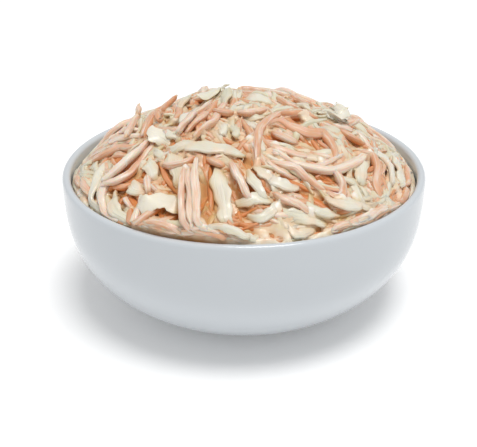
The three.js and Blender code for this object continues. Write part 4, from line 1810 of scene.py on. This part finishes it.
    def depth(self, points: Array) -> Array:
        """How deep points lie: 0 at the heap's smoothed top, 1 down at the mass between the shreds."""
        top = self.top.between_cells(points[:, 0], points[:, 1])
        return np.clip((top + self.depth_from - self.mound.height(points)) / self.deepest, 0, 1)

    # -- the pieces --

    def build_shreds(self, name: str, cut: Cut, finish: DressedFlesh) -> bpy.types.Object:
        """Joins the shreds of a kind into one piece.

        Args:
            name: the piece's name.
            cut: what they are cut from.
            finish: their finish.

        Returns:
            The piece.
        """
        shreds = [shred for shred in self.shreds if shred.cut is cut]
        strips = [Strip(shred, number).build(self.depth) for number, shred in enumerate(shreds)]
        points, faces, traits, grain = zip(*strips)
        starts = np.cumsum([0] + [len(part) for part in points])
        shifted = [np.where(part < 0, -1, part + start) for part, start in zip(faces, starts)]
        listed = [face[face >= 0] for face in np.concatenate(shifted)]
        points, traits, grain = (np.concatenate(parts) for parts in (points, traits, grain))
        piece = make_piece(name, points, listed, finish.material(), traits, grain)
        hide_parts("coleslaw")
        return piece

    def build(self) -> list[bpy.types.Object]:
        """Lays every shred and makes the pieces.

        Returns:
            The pieces.
        """
        pile = Pile(self.mound.radius + self.beyond)
        for shred in sorted(SHOWN, key=lambda shown: shown.coat >= self.bare):
            self.lay(shred, pile, sightings=self.sightings)
        self.spread_shreds(pile)
        LOG.info("larger shreds: %d", len(self.shreds))
        self.set_levels(pile)
        self.under_shreds()
        LOG.info("all shreds: %d", len(self.shreds))
        return [
            self.build_shreds("carrot_shreds", Cut.CARROT, CARROT),
            self.build_shreds("cabbage_shreds", Cut.CABBAGE, CABBAGE),
            self.build_shreds("leaf_pieces", Cut.LEAF, LEAF),
            DressingMass(self).build(),
        ]


# ---- The dressing --------------------------------------------------------------------------


@dataclass
class DressingMass:
    """The creamy mass that fills the bowl and is drawn up between the shreds. Lengths are in mm."""

    heap: Heap
    cell: float = 1.0
    every: int = 2
    reach: float = 1.6
    blend: float = 1.3
    least_weight: float = 1e-6
    headroom: float = 3.0
    swell_within: float = 3.0
    cut_level: float = 40.0
    skirt_rows: int = 8
    sunk: float = 0.36
    proud: float = 0.5
    cloud_sizes: Span = (13.0, 5.0)
    cloud_seeds: tuple[int, int] = (3, 4)
    fine_cloud: float = 0.4
    cloud_rises: Span = (0.9, 1.7)
    cloud_height: float = 0.6
    blob_height: float = 1.3
    blob_shows: Span = (0.0, 0.6)
    finish: Dressing = Dressing()

    def round_shred(self, shred: Shred, origin: Array) -> tuple[Array, Array]:
        """How far the grid's points round a shred are from it.

        Args:
            shred: the laid shred.
            origin: the grid's first point in mm.

        Returns:
            Where the block of points round it begins, in cells, and the block's distances in mm.
        """
        stations = slice(None, None, self.every)
        middle = shred.middle[stations]
        tangent = unit(np.gradient(middle, axis=0))
        across = unit(np.cross(shred.normal[stations], tangent))
        normal = np.cross(tangent, across)
        half_step = np.linalg.norm(np.diff(middle, axis=0), axis=1).mean() / 2
        reach = int(math.ceil((shred.width / 2 + self.reach) / self.cell))
        offsets = np.array(list(itertools.product(range(-reach, reach + 1), repeat=3)))
        cells = np.rint((middle - origin) / self.cell).astype(int)[:, None] + offsets[None]
        away = cells * self.cell + origin - middle[:, None]
        rounding = shred.shape.thickness / 2
        limits = ((across, shred.width / 2 - rounding), (normal, 0.0), (tangent, half_step))
        beyond = [
            np.maximum(np.abs(np.einsum("soc,sc->so", away, axis)) - limit, 0) for axis, limit in limits
        ]
        distance = np.sqrt(sum(part * part for part in beyond)) - rounding
        cells = cells.reshape(-1, 3)
        low = cells.min(0)
        block = np.full(cells.max(0) - low + 1, FAR)
        np.minimum.at(block, tuple((cells - low).T), distance.ravel())
        return low, block

    def distances(self, origin: Array, shape: tuple[int, int, int]) -> tuple[Array, Array, Array]:
        """How far the grid's points are from the shreds and the mound under them, smoothly blended.

        Args:
            origin: the grid's first point in mm.
            shape: its size in points.

        Returns:
            The distances in mm, the share of carrot in what is near, and how far the nearest shred is.
        """
        nearest, second, orange, weights = (
            np.full(shape, start, np.float32) for start in (FAR, FAR, 0.0, self.least_weight)
        )
        for shred in self.heap.shreds:
            if shred.cut is Cut.LEAF:
                continue
            low, block = self.round_shred(shred, origin)
            first, last = np.maximum(low, 0), np.minimum(low + block.shape, shape)
            if np.any(last <= first):
                continue
            target = tuple(slice(a, b) for a, b in zip(first, last))
            near = block[tuple(slice(a, b) for a, b in zip(first - low, last - low))]
            second[target] = np.minimum(second[target], np.maximum(nearest[target], near))
            nearest[target] = np.minimum(nearest[target], near)
            weights[target] += np.exp(-near)
            if shred.cut is Cut.CARROT:
                orange[target] += np.exp(-near)
        x, y, z = (origin[k] + self.cell * np.arange(shape[k]) for k in range(3))
        plan = np.meshgrid(x, y, indexing="ij")
        lean = self.heap.mound.normal(*plan)[..., 2, None]
        mass = (z[None, None] - self.heap.mound.level(*plan)[..., None]) * lean
        mass = mass - self.heap.base.between_cells(*plan)[..., None]
        second = np.minimum(second, np.maximum(nearest, mass))
        either = np.minimum(nearest, mass)
        fillet = np.maximum(self.blend - (second - either), 0) ** 2 / (4 * self.blend)
        return either - fillet, orange / weights, nearest

    def swell(self, points: Array) -> Array:
        """How far the dressing stands proud of the shreds: just under them, and over them in blobs.

        Args:
            points: places in mm, one in each row.

        Returns:
            The height at each, in mm.
        """
        large, small = (waves(points, *cloud) for cloud in zip(self.cloud_sizes, self.cloud_seeds))
        thick = self.cloud_height * smooth(large + self.fine_cloud * small, *self.cloud_rises)
        for x, y, radius in BLOBS:
            away = np.hypot(points[:, 0] - x, points[:, 1] - y)
            thick = np.maximum(thick, self.blob_height * (1 - smooth(away, 0, radius)))
        return -self.sunk + (self.sunk + self.proud) * thick

    def close_below(self, piece: bpy.types.Object) -> None:
        """Runs the open lower edge of the mass down inside the bowl and closes it on the floor.

        Args:
            piece: the open piece.
        """
        bowl, gap = self.heap.bowl, self.heap.gap
        mesh = bmesh.new()
        mesh.from_mesh(piece.data)
        edges = [edge for edge in mesh.edges if edge.is_boundary]
        for level in np.linspace(self.cut_level, bowl.base + gap, self.skirt_rows + 1)[1:]:
            grown = bmesh.ops.extrude_edge_only(mesh, edges=edges)["geom"]
            edges = [item for item in grown if isinstance(item, bmesh.types.BMEdge)]
            radius = float(bowl.room(np.array(level), gap))
            for vertex in (item for item in grown if isinstance(item, bmesh.types.BMVert)):
                share = radius / max(math.hypot(vertex.co.x, vertex.co.y) / MM, TINY)
                vertex.co = Vector((vertex.co.x * share, vertex.co.y * share, level * MM))
        bmesh.ops.holes_fill(mesh, edges=edges, sides=0)
        bmesh.ops.recalc_face_normals(mesh, faces=mesh.faces)
        for face in mesh.faces:
            face.smooth = True
        mesh.to_mesh(piece.data)
        mesh.free()

    def build(self) -> bpy.types.Object:
        """Meshes the mass where its field is zero.

        Returns:
            The piece, one closed mesh.
        """
        reach = self.heap.bowl.rim_radius
        origin = np.array([-reach, -reach, self.cut_level])
        top = max(float(shred.middle[:, 2].max()) for shred in self.heap.shreds) + self.headroom
        lengths = (2 * reach, 2 * reach, top - self.cut_level)
        shape = tuple(int(math.ceil(length / self.cell)) + 1 for length in lengths)
        distance, orange, film = self.distances(origin, shape)
        grid = np.stack(np.meshgrid(*(np.arange(n) * self.cell for n in shape), indexing="ij"), -1) + origin
        close = np.abs(distance) < self.swell_within
        swell = np.zeros(shape, np.float32)
        swell[close] = self.swell(grid[close])
        room = self.heap.bowl.room(grid[0, 0, :, 2], self.heap.gap)
        radius = np.hypot(grid[..., 0], grid[..., 1])
        places, quads = surface_net(np.maximum(distance - swell, radius - room[None, None]))
        points = places * self.cell + origin
        blob = smooth(self.swell(points), *self.blob_shows)
        depth = self.heap.depth(points)
        traits = np.column_stack([between(orange, places), between(film, places), blob, depth])
        piece = make_piece("dressing", points, quads, self.finish.material(), traits)
        self.close_below(piece)
        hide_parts("coleslaw")
        return piece


# ---- The studio ----------------------------------------------------------------------------


@dataclass(frozen=True)
class Studio:
    """A white table under soft light, and the camera. Lengths are in mm, angles in degrees."""

    distance: float = 375.0
    elevation: float = 22.75
    aim: tuple[float, float, float] = (0.0, 0.0, 58.0)
    focal_pixels: float = 893.5
    image: Span = (477.0, 447.0)
    aim_pixel: Span = (243.7, 162.8)
    sensor: float = 36.0
    room_light: float = 0.51
    sun_power: float = 1.95
    sun_spread: float = 26.0
    sun_tilt: Span = (7.0, 9.0)
    table_half: float = 4000.0
    table_drop: float = 0.3
    table_colour: Colour = (0.9, 0.9, 0.9)
    table_glow: float = 0.12

    def place_camera(self) -> None:
        """Sets the camera at the viewing angle, turned so that the rim's middle falls on its pixel."""
        data = bpy.data.cameras.new("camera")
        data.sensor_width = self.sensor
        data.sensor_fit = "HORIZONTAL"
        data.lens = self.focal_pixels / self.image[0] * self.sensor
        data.clip_start = 0.01
        data.clip_end = 20.0
        camera = bpy.data.objects.new("camera", data)
        bpy.context.scene.collection.objects.link(camera)
        tilt = math.radians(self.elevation)
        aim = Vector(self.aim) * MM
        position = aim + Vector((0, -math.cos(tilt), math.sin(tilt))) * self.distance * MM
        off_x = self.aim_pixel[0] - self.image[0] / 2
        off_y = self.image[1] / 2 - self.aim_pixel[1]
        yaw = math.atan2(off_x, self.focal_pixels)
        pitch = math.atan2(off_y, math.hypot(self.focal_pixels, off_x))
        towards = (aim - position).to_track_quat("-Z", "Y").to_matrix().to_4x4()
        turn = Matrix.Rotation(yaw, 4, "Y") @ Matrix.Rotation(-pitch, 4, "X")
        camera.matrix_world = Matrix.Translation(position) @ towards @ turn
        bpy.context.scene.camera = camera

    def hang_light(self) -> None:
        """Sets one broad, soft light overhead, a little to the right and towards the front."""
        data = bpy.data.lights.new("overhead", "SUN")
        data.energy = self.sun_power
        data.angle = math.radians(self.sun_spread)
        lamp = bpy.data.objects.new("overhead", data)
        right, front = (math.tan(math.radians(angle)) for angle in self.sun_tilt)
        lamp.rotation_euler = Vector((-right, front, -1)).to_track_quat("-Z", "Y").to_euler()
        bpy.context.scene.collection.objects.link(lamp)

    def lay_table(self) -> None:
        """Lays the plain white surface that the bowl stands on."""
        mesh = bpy.data.meshes.new("table")
        half = self.table_half * MM
        corners = [(-half, -half, 0), (half, -half, 0), (half, half, 0), (-half, half, 0)]
        mesh.from_pydata(corners, [], [(0, 1, 2, 3)])
        glow = {"Emission_Color": WHITE, "Emission_Strength": self.table_glow}
        graph = Graph("table", Roughness=0.9, Specular_IOR_Level=0.1, **glow)
        mesh.materials.append(graph.finish(Base_Color=(*self.table_colour, 1.0)))
        table = bpy.data.objects.new("table", mesh)
        table.location.z = -self.table_drop * MM
        bpy.context.scene.collection.objects.link(table)

    def light_room(self) -> None:
        """Fills the room with even white light."""
        world = bpy.data.worlds.new("white_room")
        bpy.context.scene.world = world
        world.use_nodes = True
        background = world.node_tree.nodes["Background"]
        background.inputs["Color"].default_value = WHITE
        background.inputs["Strength"].default_value = self.room_light

    def build(self) -> None:
        """Sets up the table, the lights and the camera."""
        self.lay_table()
        self.light_room()
        self.hang_light()
        bpy.context.scene.view_settings.view_transform = "Standard"
        bpy.context.scene.view_settings.look = "None"
        self.place_camera()


def main() -> None:
    """Builds the bowl, the coleslaw and the studio."""
    logging.basicConfig(level=logging.INFO, format="%(name)s: %(message)s")
    low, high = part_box("bowl")
    bowl = Bowl(rim_radius=(high.x - low.x) / 2 / MM, height=high.z / MM)
    bowl.build()
    Heap(bowl).build()
    Studio().build()


if __name__ == "__main__":
    main()
